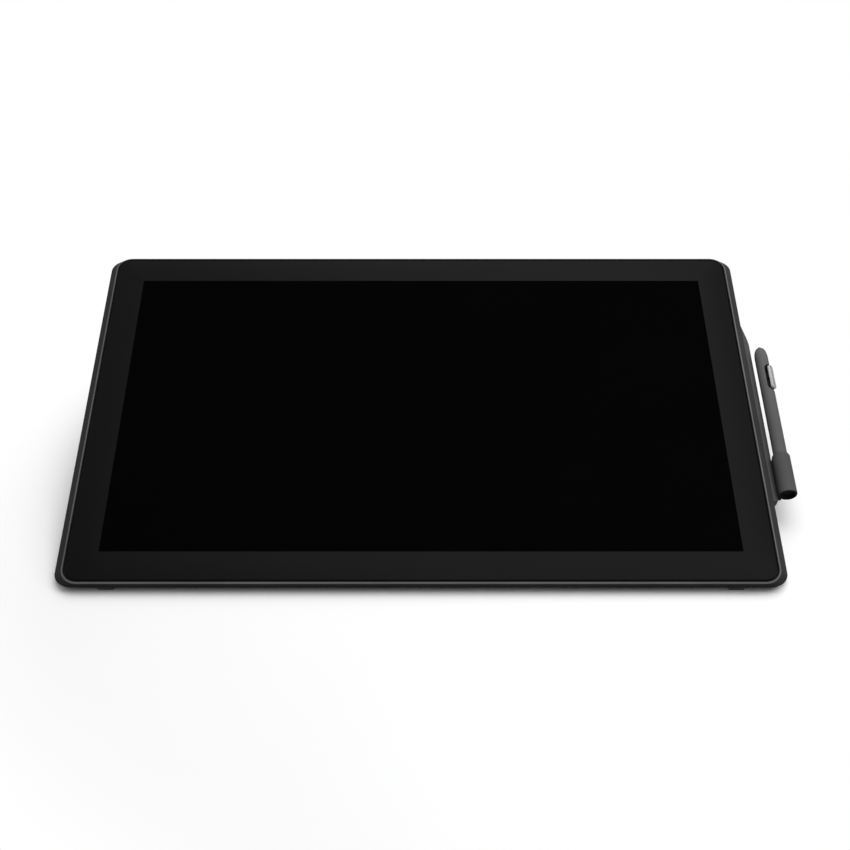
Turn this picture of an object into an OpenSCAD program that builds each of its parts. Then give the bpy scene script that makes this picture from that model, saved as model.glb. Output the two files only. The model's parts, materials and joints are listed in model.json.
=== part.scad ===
// Pen display: a drawing screen on a folding stand, with a pen in a cup at its right side.
// Millimetres. The origin is on the desk under the middle of the part. +X is right, +Y is back, +Z is up.
// Screen pieces are drawn with x to the right, y up the screen and depth counted back from the glass face.
// The whole screen is then tilted back and lifted onto its feet. The stand leg is drawn level, as it rests.

/* [Screen] */
// Width of the picture
picture_w = 527; // [480:1:580]
// Height of the picture
picture_h = 296.4; // [270:0.1:320]
// Dark border at each side of the picture
border_side = 25.3; // [20:0.1:35]
// Dark border above and below the picture
border_end = 26.3; // [22:0.1:35]
// Thickness of the cover glass
glass_t = 2; // [1.5:0.1:3]
// Corner radius of the cover glass
glass_r = 11; // [6:0.5:16]
// Thickness of the bonding layer and of the adhesive frame
bond_t = 0.4; // [0.2:0.1:0.8]
// Thickness of the liquid crystal cell
cell_t = 1.2; // [0.8:0.1:1.6]
// Thickness of the optical sheets
sheets_t = 0.8; // [0.4:0.1:1.2]
// Thickness of the light guide
guide_t = 4; // [3:0.1:5]
// Thickness of the reflector
reflector_t = 0.4; // [0.2:0.1:0.8]
// Thickness of the panel tray
tray_t = 1.2; // [0.8:0.1:1.6]
// Margin of the panel round the picture
panel_margin = 8.5; // [5:0.5:12]
// Height of the LED bar along the light guide
led_bar_h = 3.2; // [2:0.1:5]

/* [Inside] */
// Thickness of the pen sensor board
sensor_t = 1.2; // [0.8:0.1:1.6]
// Thickness of the shield foil
shield_t = 0.5; // [0.3:0.1:0.8]
// Thickness of the chassis plate
chassis_t = 1.5; // [1:0.1:2]
// Reach of the sensor board and the chassis past the panel
chassis_margin = 5; // [3:0.5:8]
// Height of the standoffs under the boards
standoff_h = 4.8; // [3:0.1:6]
// Thickness of a circuit board
board_t = 1.6; // [1:0.1:2]
// Length of the main and power boards up the screen
board_l = 125; // [100:1:130]
// Width of the main and power boards
board_w = 84; // [70:1:88]
// Lower edge of the main and power boards from the picture's middle
board_low = -25; // [-30:1:-10]

/* [Body] */
// Gap between the glass and the rim
glass_gap = 0.8; // [0.4:0.1:1.2]
// Width of the bevelled rim
rim_w = 2.6; // [1.5:0.1:4]
// Depth of the rim's bevel
rim_d = 1.2; // [0.6:0.1:2]
// How far the side walls flare out from the rim
side_flare = 7.1; // [4:0.1:10]
// How far the top wall flares out from the rim
top_flare = 4.5; // [3:0.1:8]
// How far the bottom edge leans out from the rim
bottom_flare = 0.7; // [0.2:0.1:1.5]
// Depth of the upright bottom edge
edge_h = 5.6; // [5:0.1:7]
// Corner radius of the body at its widest
corner_r = 12.5; // [10:0.5:16]
// Corner radius of the shoulder and the flat back
back_r = 22; // [12:1:30]
// How far the keel under the body lies up the screen from the bottom edge
keel_in = 3.6; // [2:0.1:6]
// Thickness of the body from the glass to the flat back
body_t = 45; // [42:0.5:46]
// Wall of the rear cover
cover_wall = 2.5; // [2:0.1:3]
// Depth of the rear cover's upright edge
upright_h = 5; // [4:0.1:6]
// How far the upright edge leans in at the sides
upright_in = 3.5; // [2:0.1:5]
// How far the upright edge leans in at the top
upright_drop = 2.5; // [1.5:0.1:3]
// Depth of the shoulder between the edge and the flat back
shoulder_d = 30; // [28:0.5:34]
// How far the shoulder lies in from the body's sides
shoulder_in = 37; // [30:1:45]
// How far the shoulder lies below the body's top
shoulder_drop = 22; // [16:1:30]
// Width of the flat back
back_w = 410; // [404:1:430]
// Top edge of the flat back from the picture's middle
back_top = 118; // [112:1:124]
// Number of vent slots
vent_count = 31; // [5:2:35]
// Spacing of the vent slots
vent_pitch = 9.6; // [7:0.1:10]
// Width of a vent slot
vent_w = 3; // [2:0.1:4]
// Length of a vent slot
vent_l = 24; // [12:1:30]

/* [Fasteners] */
// Spacing of the square arm mount holes
mount_pitch = 100; // [75:25:100]
// Radius of an arm mount hole
mount_hole_r = 2.2; // [2:0.1:2.6]
// Middle of the arm mount from the picture's middle
mount_v = 35; // [30:1:40]
// Radius of the chassis bosses
boss_r = 5; // [4.5:0.1:6]
// Radius of a screw's shank
screw_r = 1.45; // [1.2:0.05:1.8]
// Radius of a screw's head
screw_head_r = 3.2; // [2.6:0.1:3.6]
// Height of a screw's head
screw_head_h = 2; // [1.4:0.1:2.4]
// Radius of the screw wells in the rear cover
well_r = 5.5; // [5.2:0.1:7]
// Clearance round fixed pieces
fit_gap = 0.2; // [0.1:0.05:0.3]

/* [Sockets] */
// Lower end of the socket bay from the picture's middle
bay_low = -5; // [-10:1:0]
// Length of the socket bay
bay_l = 90; // [86:1:100]
// Depth of the socket bay's floor
bay_d = 22; // [21.5:0.5:24]
// Wall of the connector tray
bay_wall = 1.6; // [1.2:0.1:2]
// Length of a socket behind its mouth
socket_l = 14; // [10:0.5:18]
// Wall of a socket's shell
socket_wall = 1; // [0.8:0.1:1.2]

/* [Keys] */
// Middle of the first key from the picture's middle
key_x = 150; // [120:1:170]
// Spacing of the keys
key_pitch = 18; // [16:0.5:20]
// Width of a key
key_w = 11; // [8:0.5:12]
// Height of a key
key_h = 2.8; // [2:0.1:3]
// How far a key stands out
key_proud = 0.8; // [0.5:0.1:1.2]
// Travel of a key
key_travel = 0.6; // [0.3:0.1:0.8]
// Clearance round a key in its slot
key_gap = 0.25; // [0.15:0.05:0.4]

/* [Feet] */
// Tilt of the screen at rest
tilt = 18; // [17:0.5:20]
// Height of the bottom edge above the desk
foot_h = 6.6; // [6:0.1:9]
// Width of a front foot
foot_w = 12; // [8:0.5:16]
// Length of a front foot
foot_l = 11.5; // [8:0.5:12]
// Sideways place of a front foot from the picture's middle
foot_x = 256; // [200:1:262]
// Setback of a front foot from the bottom edge
foot_back = 3; // [2:0.1:4]
// Round on the front of a foot
foot_r = 2.5; // [1:0.1:3.5]

/* [Stand] */
// Distance of the hinge axis from the flat back
hinge_out = 12; // [11.5:0.1:13]
// Radius of the leg's hinge barrel
barrel_r = 7.5; // [6.5:0.1:8]
// Radius of the hinge pins
pin_r = 3; // [2.5:0.1:3.5]
// Running clearance of the pins in their ears
pin_gap = 0.05; // [0.03:0.01:0.08]
// Length of a hinge barrel
barrel_l = 30; // [29:0.5:34]
// Inner face of the hinge barrels from the middle
barrel_x = 80; // [76:1:84]
// Width of a leg arm
arm_w = 17; // [12:0.5:17]
// Length of the leg from its hinge axis
leg_l = 172; // [160:1:190]
// Thickness of the leg arms
leg_t = 8; // [6:0.5:9]
// Half the width of the leg's foot bar
foot_bar_half = 124; // [115:1:140]
// Length of the foot bar from front to back
foot_bar_l = 32; // [24:1:40]
// Height of the rubber pad under the foot bar
pad_h = 4; // [3:0.5:5]
// Inset of the rubber pad from the foot bar's edge
pad_in = 6; // [3:0.5:9]
// Thickness of a friction washer
washer_t = 0.8; // [0.5:0.1:1.2]
// Thickness of a bracket ear
ear_t = 5; // [4:0.1:6]
// Thickness of a bracket's base
base_t = 2.5; // [2:0.1:3]
// Lower end of a bracket's base from the hinge axis
base_low = -28; // [-34:1:-26]
// Upper end of a bracket's base from the hinge axis
base_high = 37; // [36:1:42]

/* [Brake] */
// Lever pivot up the screen from the hinge axis
lever_v = 22; // [21:0.5:24]
// Lever pivot out from the flat back
lever_out = 8; // [8:0.1:8.6]
// Radius of the lever's pin
lever_pin_r = 2; // [1.5:0.1:2.2]
// Radius of the lever's hub
lever_hub_r = 4.4; // [3.8:0.1:4.8]
// Width of the lever
lever_w = 5.6; // [4:0.1:5.8]
// Thickness of the lever's handle
lever_t = 4.5; // [3:0.1:5]
// Reach of the lever's handle up the screen from the hinge axis
lever_reach = 96; // [80:1:104]
// How far the handle stands out further than the pivot at its end
lever_lift = 5; // [3:0.5:7]
// Width of the finger plate at the handle's end
lever_plate_w = 20; // [12:0.5:24]
// Length of the finger plate
lever_plate_l = 20; // [12:0.5:26]
// Thickness of the brake pad
brake_t = 2.5; // [1.5:0.1:3]
// Gap between the brake pad and the barrel
brake_gap = 0.3; // [0.2:0.05:0.5]
// Diameter of the lever spring's wire
spring_wire = 0.7; // [0.5:0.05:0.8]
// Number of turns of the lever spring
spring_turns = 3; // [2:1:3]

/* [Pen] */
// Pen axis out from the body's widest side
pen_out = 13.1; // [12.8:0.1:15]
// Depth of the pen axis behind the glass face
pen_d = 10; // [9:0.1:12]
// Radius of the pen
pen_r = 6; // [5:0.1:6.5]
// Wall of the pen barrel
pen_wall = 1.4; // [1:0.1:1.6]
// Length of the pen without its nib
pen_l = 154; // [140:1:165]
// Length of the rounded tip
tip_l = 13.5; // [10:0.5:18]
// Length of the tail cap
tail_l = 9; // [6:0.5:12]
// Radius of the nib
nib_r = 0.9; // [0.6:0.1:1.2]
// How far the nib stands out
nib_out = 1.5; // [1:0.1:2]
// Travel of the nib
nib_travel = 0.4; // [0.2:0.1:0.6]
// Distance of the side switch's middle from the tip's end
switch_at = 36; // [31:0.5:40]
// Length of the side switch
switch_l = 28; // [20:0.5:29]
// Width of the side switch
switch_w = 6; // [4:0.1:6.4]
// How far the side switch stands out
switch_proud = 2; // [1:0.1:2.2]
// Turn of the side switch from straight right towards the viewer
switch_turn = 46; // [0:1:50]
// Gap round the side switch
switch_gap = 1.2; // [0.5:0.1:1.2]

/* [Pen holder] */
// Radius of the cup
cup_r = 7.8; // [7.6:0.1:8.4]
// Length of the cup
cup_l = 41.5; // [34:0.5:46]
// Lower end of the cup from the picture's middle
cup_low = -87.5; // [-90:0.5:-82]
// Thickness of the cup's floor
cup_floor = 3; // [2:0.1:4]
// Depth of the hollow under the cup's floor
cup_hollow = 3.5; // [1:0.1:5]
// Clearance of the pen in the cup
cup_gap = 0.25; // [0.2:0.05:0.4]
// Round on the cup's upper edge
cup_round = 3; // [2:0.1:4]
// Lower end of the holder bracket from the picture's middle
holder_low = -95.5; // [-97:0.5:-92]
// Upper end of the holder bracket from the picture's middle
holder_high = 106.5; // [80:0.5:110]
// Length of the curved run-in at the lower end
holder_low_run = 8.5; // [6:0.5:16]
// Length of the curved run-in at the upper end
holder_high_run = 25; // [10:0.5:40]
// How far the bracket stands out from the body's side
holder_out = 6.3; // [4:0.1:7]
// Depth of the bracket's outer edge behind the body's widest line
holder_edge_d = 6.2; // [5:0.1:8]
// Depth of the bracket's back behind the body's widest line
holder_back_d = 14.5; // [13:0.1:16]

/* [Hidden] */
$fn = 64;

// Thin slice that a hull starts or ends with
slice = 0.01;
// Length that carries a cut clear of a face
clear_cut = 1;
hull_fn = 32;

// Outlines of the screen
glass_half_w = picture_w / 2 + border_side;
glass_half_h = picture_h / 2 + border_end;
rim_half_w = glass_half_w + glass_gap + rim_w;
rim_half_h = glass_half_h + glass_gap + rim_w;
rim_flat = 0.5;
panel_half_w = picture_w / 2 + panel_margin;
panel_half_h = picture_h / 2 + panel_margin;

// Depths of the layers behind the glass face
cell_d = glass_t + bond_t;
sheets_d = cell_d + cell_t;
guide_d = sheets_d + sheets_t;
reflector_d = guide_d + guide_t;
tray_d = reflector_d + reflector_t;
frame_d = tray_d + tray_t;
shield_d = frame_d + sensor_t;
chassis_d = shield_d + shield_t;
chassis_back = chassis_d + chassis_t;
board_d = chassis_back + standoff_h;
board_back = board_d + board_t;
back_inner = body_t - cover_wall;
hinge_d = body_t + hinge_out;
lever_d = body_t + lever_out;

// Body outline
body_half_w = rim_half_w + side_flare;
body_top = rim_half_h + top_flare;
edge_low = -rim_half_h - bottom_flare;
keel_low = edge_low + keel_in;
edge_share = (edge_h - rim_d) / (frame_d - rim_d);
upright_d = frame_d + upright_h;
lip_half_w = rim_half_w - rim_w + rim_flat;
lip_half_h = rim_half_h - rim_w + rim_flat;
rim_r = glass_r + glass_gap + rim_w;
plate_r = 12;
tape_in = 0.8;
tape_gap = 1;

// Lower face of the body behind the keel, level with the desk at rest
function under_at(depth) = keel_low + (depth - frame_d) / tan(tilt);

// Rows of the body's sections: depth, half width, lowest point, highest point, corner radius
frame_rows = [
  [0, lip_half_w, -lip_half_h, lip_half_h, glass_r + glass_gap + rim_flat],
  [rim_d, rim_half_w, -rim_half_h, rim_half_h, rim_r],
  [edge_h, rim_half_w + side_flare * edge_share, edge_low, rim_half_h + top_flare * edge_share,
    (corner_r + rim_r) / 2],
  [frame_d - slice, body_half_w, under_at(frame_d), body_top, corner_r]];
cover_rows = [
  [frame_d, body_half_w, under_at(frame_d), body_top, corner_r],
  [upright_d, body_half_w - upright_in, under_at(upright_d), body_top - upright_drop, corner_r],
  [shoulder_d, body_half_w - shoulder_in, under_at(shoulder_d), body_top - shoulder_drop, back_r],
  [body_t - slice, back_w / 2, under_at(body_t), back_top, back_r]];

// Half width of the rear cover's outside on its shoulder slope
function slope_half(depth) = body_half_w - upright_in
  - (depth - upright_d) * (shoulder_in - upright_in) / (shoulder_d - upright_d);

// Place of the screen on the desk
lift = foot_h - edge_low * sin(tilt) + edge_h * cos(tilt);
function desk_y(v, depth) = v * cos(tilt) + depth * sin(tilt);
function desk_z(v, depth) = v * sin(tilt) - depth * cos(tilt) + lift;
hinge_y = desk_y(0, hinge_d);
hinge_z = desk_z(0, hinge_d);
edge_y = desk_y(edge_low, edge_h);
keel_y = desk_y(keel_low, frame_d);
keel_z = desk_z(keel_low, frame_d);

// Pen and holder
pen_x = body_half_w + pen_out;
pen_low = cup_low + cup_hollow + cup_floor + cup_gap;
tip_end = pen_low + pen_l;
pen_bore = pen_r - pen_wall;
core_gap = 0.15;
tip_flat = 0.3;
switch_v = tip_end - switch_at;
switch_floor = 5.3;
switch_room = 2.2;
rocker_l = 2;
coil_l = 14;
coil_bore = 2;
nib_gap = 0.1;

// Middle of the whole part
front_y = min(desk_y(-rim_half_h, rim_d), edge_y);
mid_x = -(pen_x + cup_r - body_half_w) / 2;
mid_y = -(front_y + hinge_y + leg_l) / 2;

// Bracket ears, counted outwards from the middle
washer_space = washer_t + fit_gap;
ear_in_x = barrel_x - washer_space - ear_t;
ear_out_x = barrel_x + barrel_l + washer_space;
base_side = 6;
washer_in = 0.5;
washer_r = barrel_r - washer_in;
head_t = 1.8;
clip_t = 1;
clip_gap = 0.3;
clip_edge = 2.4;
clip_r = pin_r + clip_edge;
bracket_screw_side = 4;
bracket_screw_end = 8;
bracket_screw_x = [barrel_x + bracket_screw_side, barrel_x + barrel_l - bracket_screw_side];
bracket_screw_v = [base_low + bracket_screw_end, base_high - bracket_screw_end];

// Lever beside the leg arm
lever_ear_t = 2;
lever_ear_x = barrel_x + arm_w + 2 * fit_gap;
lever_x = lever_ear_x + lever_ear_t + 2 * fit_gap;
brake_from = 15;
brake_to = 78;
brake_r = barrel_r + brake_gap;
shoe_r = brake_r + brake_t;
shoe_t = 4;
web_at = 30;
lever_head_edge = 1.4;
spring_gap = 0.5;

// Keys
key_d = frame_d + upright_h / 2;
key_top = body_top - upright_drop / 2 + key_proud;
key_ceiling = body_top - upright_drop - cover_wall;
flange_side = 1.5;
flange_t = 0.8;
flange_end = 0.8;
stem_tail = 1.2;
stem_low = key_ceiling - fit_gap - flange_t - stem_tail;
can_h = 2.2;
can_top = stem_low - key_travel - fit_gap;
can_w = 4.5;
can_d = 3.6;
key_board_top = can_top - can_h;
key_board_t = 1.2;
key_board_d = 6;
key_board_end = 4;
light_r = 1.1;
light_at = 10;
power_gap = 6;
power_x = key_x + 4 * key_pitch + power_gap;

// Screws that hold the rear cover, and the depth of their seats
cover_screw_x = panel_half_w - 37;
cover_screw_at = [
  [cover_screw_x, panel_half_h - 22],
  [cover_screw_x, -panel_half_h + 45],
  [barrel_x + 10, -panel_half_h + 39]];
seat_h = 4;
seat_d = chassis_back + seat_h;
bracket_screw_grip = 8;
holder_screw_l = 9;

// Boards: room beside the bracket bosses, both edges, and standoff inset
board_gap = 7;
board_in = bracket_screw_x[1] + boss_r + board_gap;
board_out = board_in + board_w;
board_inset = 5;
standoff_r = 3;
control_w = 76;
control_low = 0;
control_l = 70;
board_screw_r = 1.2;

// Flat cables
cable_t = 0.3;
cable_w = 34;
panel_cable_x = -board_in - board_w / 2;
cable_slot_w = cable_w + 2;
cable_slot_v = 2;
sensor_cable_w = 24;
cable_lap = 8;
cable_out = 3;
window_gap = 1;
window_l = 5;

// Sockets along the bay: middle from the bay's lower end, width, height
inlet_at = [12, 9, 11];
usb_at = [30, 12, 10.5];
video_low_at = [49, 15, 6];
video_high_at = [70, 16, 6];
lock_at = 82.5;
socket_back = 3;
socket_gap = 0.6;
socket_d = bay_d + socket_gap;
lock_d = (bay_d + body_t) / 2;
tongue_side = 3;
usb_tongue = 3;
video_tongue = 1.4;
inlet_r = 3.2;
inlet_pin_r = 1;
lock_slot = [3, 7];
lock_edge = 3;
bay_edge = 3;
bay_x = board_out + bay_edge;
socket_x = bay_x - fit_gap;

// Two ends of a stretch, from its middle and half length or from its start and length
function span(middle, half) = [middle - half, middle + half];
function stretch(start, length) = [start, start + length];

// Rounded rectangle
module outline(half_w, low, high, r) {
  translate([-half_w + r, low]) square([2 * (half_w - r), high - low]);
  translate([-half_w, low + r]) square([2 * half_w, high - low - 2 * r]);
  for (side = [-1, 1], v = [low + r, high - r])
    translate([side * (half_w - r), v]) circle(r);
}

// Block from one corner to the opposite corner, in x, y and depth
module block(x, v, depth) {
  translate([x[0], v[0], -depth[1]]) cube([x[1] - x[0], v[1] - v[0], depth[1] - depth[0]]);
}

// Rounded plate between two depths
module plate(half_w, low, high, r, depth) {
  translate([0, 0, -depth[1]]) linear_extrude(depth[1] - depth[0]) outline(half_w, low, high, r);
}

// Post along the depth axis between two depths
module post(x, v, r, depth) {
  translate([x, v, -depth[1]]) cylinder(r = r, h = depth[1] - depth[0]);
}

// Rod along x between two places
module rod(x, v, depth, r) {
  translate([x[0], v, -depth]) rotate([0, 90, 0]) cylinder(r = r, h = x[1] - x[0]);
}

// Flat shape in the plane of y and z, carried along x
module along_x(from, to) {
  translate([from, 0, 0]) rotate([90, 0, 90]) linear_extrude(to - from) children();
}

// Straight bar between two points of a flat shape
module bar(from, to, width) {
  run = to - from;
  translate(from) rotate(atan2(run[1], run[0])) translate([0, -width / 2]) square([norm(run), width]);
}

// Solid through rows of sections, moved forward and drawn in for an inner wall
module lofted(rows, inset) {
  hull() for (row = rows)
    translate([0, 0, -row[0] - slice + inset])
      linear_extrude(slice)
        outline(row[1] - inset, row[2], row[3] - inset, row[4], $fn = hull_fn);
}

// Screen pieces onto the desk
module tilted() {
  translate([mid_x, mid_y, lift]) rotate([tilt, 0, 0]) children();
}

// Level pieces onto the desk
module level() {
  translate([mid_x, mid_y, 0]) children();
}

// Both sides of the middle
module both_sides() {
  children();
  mirror([1, 0, 0]) children();
}

// Panel stack

module cover_glass() color([0.06, 0.06, 0.07]) tilted()
  plate(glass_half_w, -glass_half_h, glass_half_h, glass_r, [0, glass_t]);

module glass_tape() color([0.1, 0.1, 0.1]) tilted() difference() {
  plate(glass_half_w - tape_in, -glass_half_h + tape_in, glass_half_h - tape_in, glass_r - tape_in,
    [glass_t, cell_d]);
  block(span(0, panel_half_w + tape_gap), span(0, panel_half_h + tape_gap), [0, frame_d]);
}

module optical_bond() color([0.5, 0.5, 0.55]) tilted()
  block(span(0, panel_half_w), span(0, panel_half_h), [glass_t, cell_d]);

module lcd_cell() color([0.03, 0.03, 0.04]) tilted()
  block(span(0, panel_half_w), span(0, panel_half_h), [cell_d, sheets_d]);

module optical_sheets() color([0.9, 0.9, 0.92]) tilted()
  block(span(0, panel_half_w), span(0, panel_half_h), [sheets_d, guide_d]);

module light_guide() color([0.85, 0.9, 0.95]) tilted()
  block(span(0, panel_half_w), [-panel_half_h + led_bar_h + fit_gap, panel_half_h], [guide_d, reflector_d]);

module led_bar() color([0.95, 0.95, 0.8]) tilted()
  block(span(0, panel_half_w), [-panel_half_h, -panel_half_h + led_bar_h], [guide_d, reflector_d]);

module reflector() color([0.97, 0.97, 0.97]) tilted()
  block(span(0, panel_half_w), span(0, panel_half_h), [reflector_d, tray_d]);

module panel_tray() color([0.75, 0.76, 0.78]) tilted()
  block(span(0, panel_half_w), span(0, panel_half_h), [tray_d, frame_d]);

// Slot that lets the panel cable pass behind the panel's top edge
module cable_slot() {
  block(span(panel_cable_x, cable_slot_w / 2), stretch(panel_half_h, cable_slot_v), [cell_d, body_t]);
}

// Window that lets the sensor cable reach the sensor board
module sensor_window() {
  block(span(0, sensor_cable_w / 2 + window_gap), stretch(control_low + control_l + window_gap, window_l),
    [shield_d, body_t]);
}

// Plate behind the panel whose lower edge stays inside the rear cover
module inner_plate(depth) {
  low = max(under_at(depth[1] + cover_wall) + fit_gap, -panel_half_h - chassis_margin);
  difference() {
    plate(panel_half_w + chassis_margin, low, panel_half_h + chassis_margin, plate_r, depth);
    cable_slot();
  }
}

module sensor_board() color([0.1, 0.3, 0.15]) tilted() inner_plate([frame_d, shield_d]);

module shield_foil() color([0.8, 0.8, 0.8]) tilted() difference() {
  inner_plate([shield_d, chassis_d]);
  sensor_window();
}

// Body shells

module front_frame() color([0.12, 0.12, 0.13]) tilted() difference() {
  lofted(frame_rows, 0);
  plate(glass_half_w + glass_gap, -glass_half_h - glass_gap, glass_half_h + glass_gap,
    glass_r + glass_gap, [-clear_cut, cell_d]);
  block(span(0, panel_half_w + fit_gap), span(0, panel_half_h + fit_gap), [-clear_cut, frame_d + clear_cut]);
  cable_slot();
}

// Places of the arm mount holes and the bracket screws on the flat back
mount_at = [for (x = [-1, 1], v = [-1, 1]) [x * mount_pitch / 2, mount_v + v * mount_pitch / 2]];
bracket_screw_at = [for (side = [-1, 1], x = bracket_screw_x, v = bracket_screw_v) [side * x, v]];
all_cover_screws = [for (side = [-1, 1], at = cover_screw_at) [side * at[0], at[1]]];

module vents() {
  translate([0, (back_top + body_top - shoulder_drop) / 2, -body_t - clear_cut])
    linear_extrude(body_t - frame_d - upright_h)
      for (i = [0 : vent_count - 1])
        translate([(i - (vent_count - 1) / 2) * vent_pitch, 0]) {
          square([vent_w, vent_l], center = true);
          for (end = [-1, 1]) translate([0, end * vent_l / 2]) circle(vent_w / 2);
        }
}

// Room for the connector tray in the rear cover
module bay_room(gap) {
  edge = bay_wall + gap;
  block([-body_half_w, -bay_x + edge], [bay_low - edge, bay_low + bay_l + edge],
    [bay_d - edge, body_t + clear_cut]);
}

module key_slot(x) {
  block(span(x, key_w / 2 + key_gap), [stem_low, body_top + clear_cut], span(key_d, key_h / 2 + key_gap));
}

module rear_cover() color([0.13, 0.13, 0.14]) tilted() difference() {
  union() {
    difference() {
      lofted(cover_rows, 0);
      lofted(cover_rows, cover_wall);
    }
    intersection() {
      lofted(cover_rows, 0);
      for (at = all_cover_screws) post(at[0], at[1], well_r, [chassis_back, body_t]);
    }
  }
  for (at = all_cover_screws) {
    post(at[0], at[1], screw_head_r + fit_gap, [seat_d, body_t + clear_cut]);
    post(at[0], at[1], screw_r + fit_gap, [frame_d, body_t]);
  }
  for (at = mount_at) post(at[0], at[1], mount_hole_r, [frame_d, body_t + clear_cut]);
  for (at = bracket_screw_at) post(at[0], at[1], screw_r + fit_gap, [frame_d, body_t + clear_cut]);
  vents();
  bay_room(fit_gap);
  for (i = [0 : 3]) key_slot(key_x + i * key_pitch);
  key_slot(power_x);
  block([key_x - key_w, power_x + light_at + key_w], [key_board_top - key_board_t, key_ceiling],
    [frame_d - clear_cut, frame_d + key_board_d + fit_gap]);
  translate([power_x + light_at, 0, -key_d]) rotate([-90, 0, 0])
    cylinder(r = light_r + fit_gap, h = body_top + clear_cut);
  for (v = holder_screw_v) post(holder_screw_x, v, screw_r + fit_gap, [frame_d, body_t]);
}

// Boards and their carrier

// Corners of a board where its standoffs stand
function board_corners(x, low, l) =
  [for (end = x, v = [low + board_inset, low + l - board_inset])
    [end == x[0] ? end + board_inset : end - board_inset, v]];
main_x = [-board_out, -board_in];
supply_x = [board_in, board_out];
control_x = [-control_w / 2, control_w / 2];
standoff_at = concat(board_corners(main_x, board_low, board_l), board_corners(supply_x, board_low, board_l),
  board_corners(control_x, control_low, control_l));

module chassis_plate() color([0.7, 0.71, 0.73]) tilted() difference() {
  union() {
    inner_plate([chassis_d, chassis_back]);
    for (at = concat(mount_at, bracket_screw_at)) post(at[0], at[1], boss_r, [chassis_d, back_inner]);
    for (at = standoff_at) post(at[0], at[1], standoff_r, [chassis_d, board_d]);
  }
  for (at = mount_at) post(at[0], at[1], mount_hole_r, [chassis_d - clear_cut, body_t]);
  for (at = bracket_screw_at) post(at[0], at[1], screw_r + pin_gap, [chassis_d - clear_cut, body_t]);
  for (at = standoff_at) post(at[0], at[1], board_screw_r + pin_gap, [chassis_d - clear_cut, body_t]);
  for (at = all_cover_screws) post(at[0], at[1], screw_r + pin_gap, [chassis_d - clear_cut, body_t]);
  sensor_window();
}

// Circuit board on standoffs with the given parts, each a place, a width and length, and a height
module board(x, low, l, corners, parts) {
  difference() {
    block(x, [low, low + l], [board_d, board_back]);
    for (at = corners) post(at[0], at[1], board_screw_r + fit_gap, [board_d - clear_cut, body_t]);
  }
  for (part = parts)
    block(stretch(x[0] + part[0][0], part[1][0]), stretch(low + part[0][1], part[1][1]),
      stretch(board_back, part[2]));
}

module main_board() color([0.08, 0.32, 0.16]) tilted()
  board(main_x, board_low, board_l, board_corners(main_x, board_low, board_l),
    [[[28, 40], [24, 24], 2], [[34, 74], [12, 10], 1.4], [[48, 22], [18, 12], 1.4],
     [[55, 60], [12, 30], 1.6], [[30, 14], [12, 12], 3]]);

module power_board() color([0.1, 0.3, 0.18]) tilted()
  board(supply_x, board_low, board_l, board_corners(supply_x, board_low, board_l),
    [[[12, 16], [26, 24], 14], [[42, 14], [24, 16], 9], [[14, 50], [16, 16], 12],
     [[40, 48], [16, 16], 10], [[18, 74], [44, 20], 6]]);

module controller_board() color([0.06, 0.26, 0.3]) tilted()
  board(control_x, control_low, control_l, board_corners(control_x, control_low, control_l),
    [[[28, 20], [20, 20], 2], [[12, 46], [10, 8], 1.2], [[54, 18], [10, 8], 1.2]]);

module board_screws() color([0.7, 0.7, 0.72]) tilted()
  for (at = standoff_at) {
    post(at[0], at[1], board_screw_r, [board_back - board_t - standoff_h, board_back]);
    post(at[0], at[1], 2 * board_screw_r, [board_back, board_back + screw_head_h]);
  }

// Strip of flat cable in steps: over a board, down to a plate, along it and through it
module cable_step(x, v, depth) {
  block(x, [min(v), max(v)], [min(depth), max(depth)]);
}

module panel_cable() color([0.85, 0.78, 0.6]) tilted() {
  x = span(panel_cable_x, cable_w / 2);
  board_edge = board_low + board_l;
  top = panel_half_h + 2 * cable_t + fit_gap;
  cable_step(x, [board_edge - cable_lap, board_edge + 2 * cable_t], [board_back, board_back + cable_t]);
  cable_step(x, stretch(board_edge + cable_t, cable_t), [chassis_back, board_back + cable_t]);
  cable_step(x, [board_edge + cable_t, top], [chassis_back, chassis_back + cable_t]);
  cable_step(x, [top - cable_t, top], [cell_d + cable_t, chassis_back + cable_t]);
}

module sensor_cable() color([0.85, 0.78, 0.6]) tilted() {
  x = span(0, sensor_cable_w / 2);
  board_edge = control_low + control_l;
  cable_step(x, [board_edge - cable_lap, board_edge + cable_out], [board_back, board_back + cable_t]);
  cable_step(x, stretch(board_edge + cable_out - cable_t, cable_t), [shield_d, board_back + cable_t]);
}

module key_board() color([0.08, 0.3, 0.16]) tilted() {
  block([key_x - key_w / 2, power_x + light_at + key_board_end],
    [key_board_top - key_board_t, key_board_top], [frame_d, frame_d + key_board_d]);
  for (x = concat([for (i = [0 : 3]) key_x + i * key_pitch], [power_x]))
    block(span(x, can_w / 2), [key_board_top, can_top], span(key_d, can_d / 2));
}

module power_light() color([0.8, 0.9, 1]) tilted()
  translate([power_x + light_at, key_board_top, -key_d]) rotate([-90, 0, 0])
    cylinder(r = light_r, h = body_top - upright_drop / 2 - fit_gap - key_board_top);

// Sockets

module connector_tray() color([0.1, 0.1, 0.11]) tilted() difference() {
  intersection() {
    lofted(cover_rows, 0);
    bay_room(0);
  }
  block([-body_half_w - clear_cut, -bay_x], stretch(bay_low, bay_l), [bay_d, body_t + clear_cut]);
  for (at = [inlet_at, usb_at, video_low_at, video_high_at])
    block(span(-bay_x, bay_wall + clear_cut), span(bay_low + at[0], at[1] / 2 + fit_gap),
      span(socket_d + at[2] / 2, at[2] / 2 + fit_gap));
  block(span(-bay_x, bay_wall + clear_cut), span(bay_low + lock_at, lock_slot[0] / 2),
    span(lock_d, lock_slot[1] / 2));
}

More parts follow.
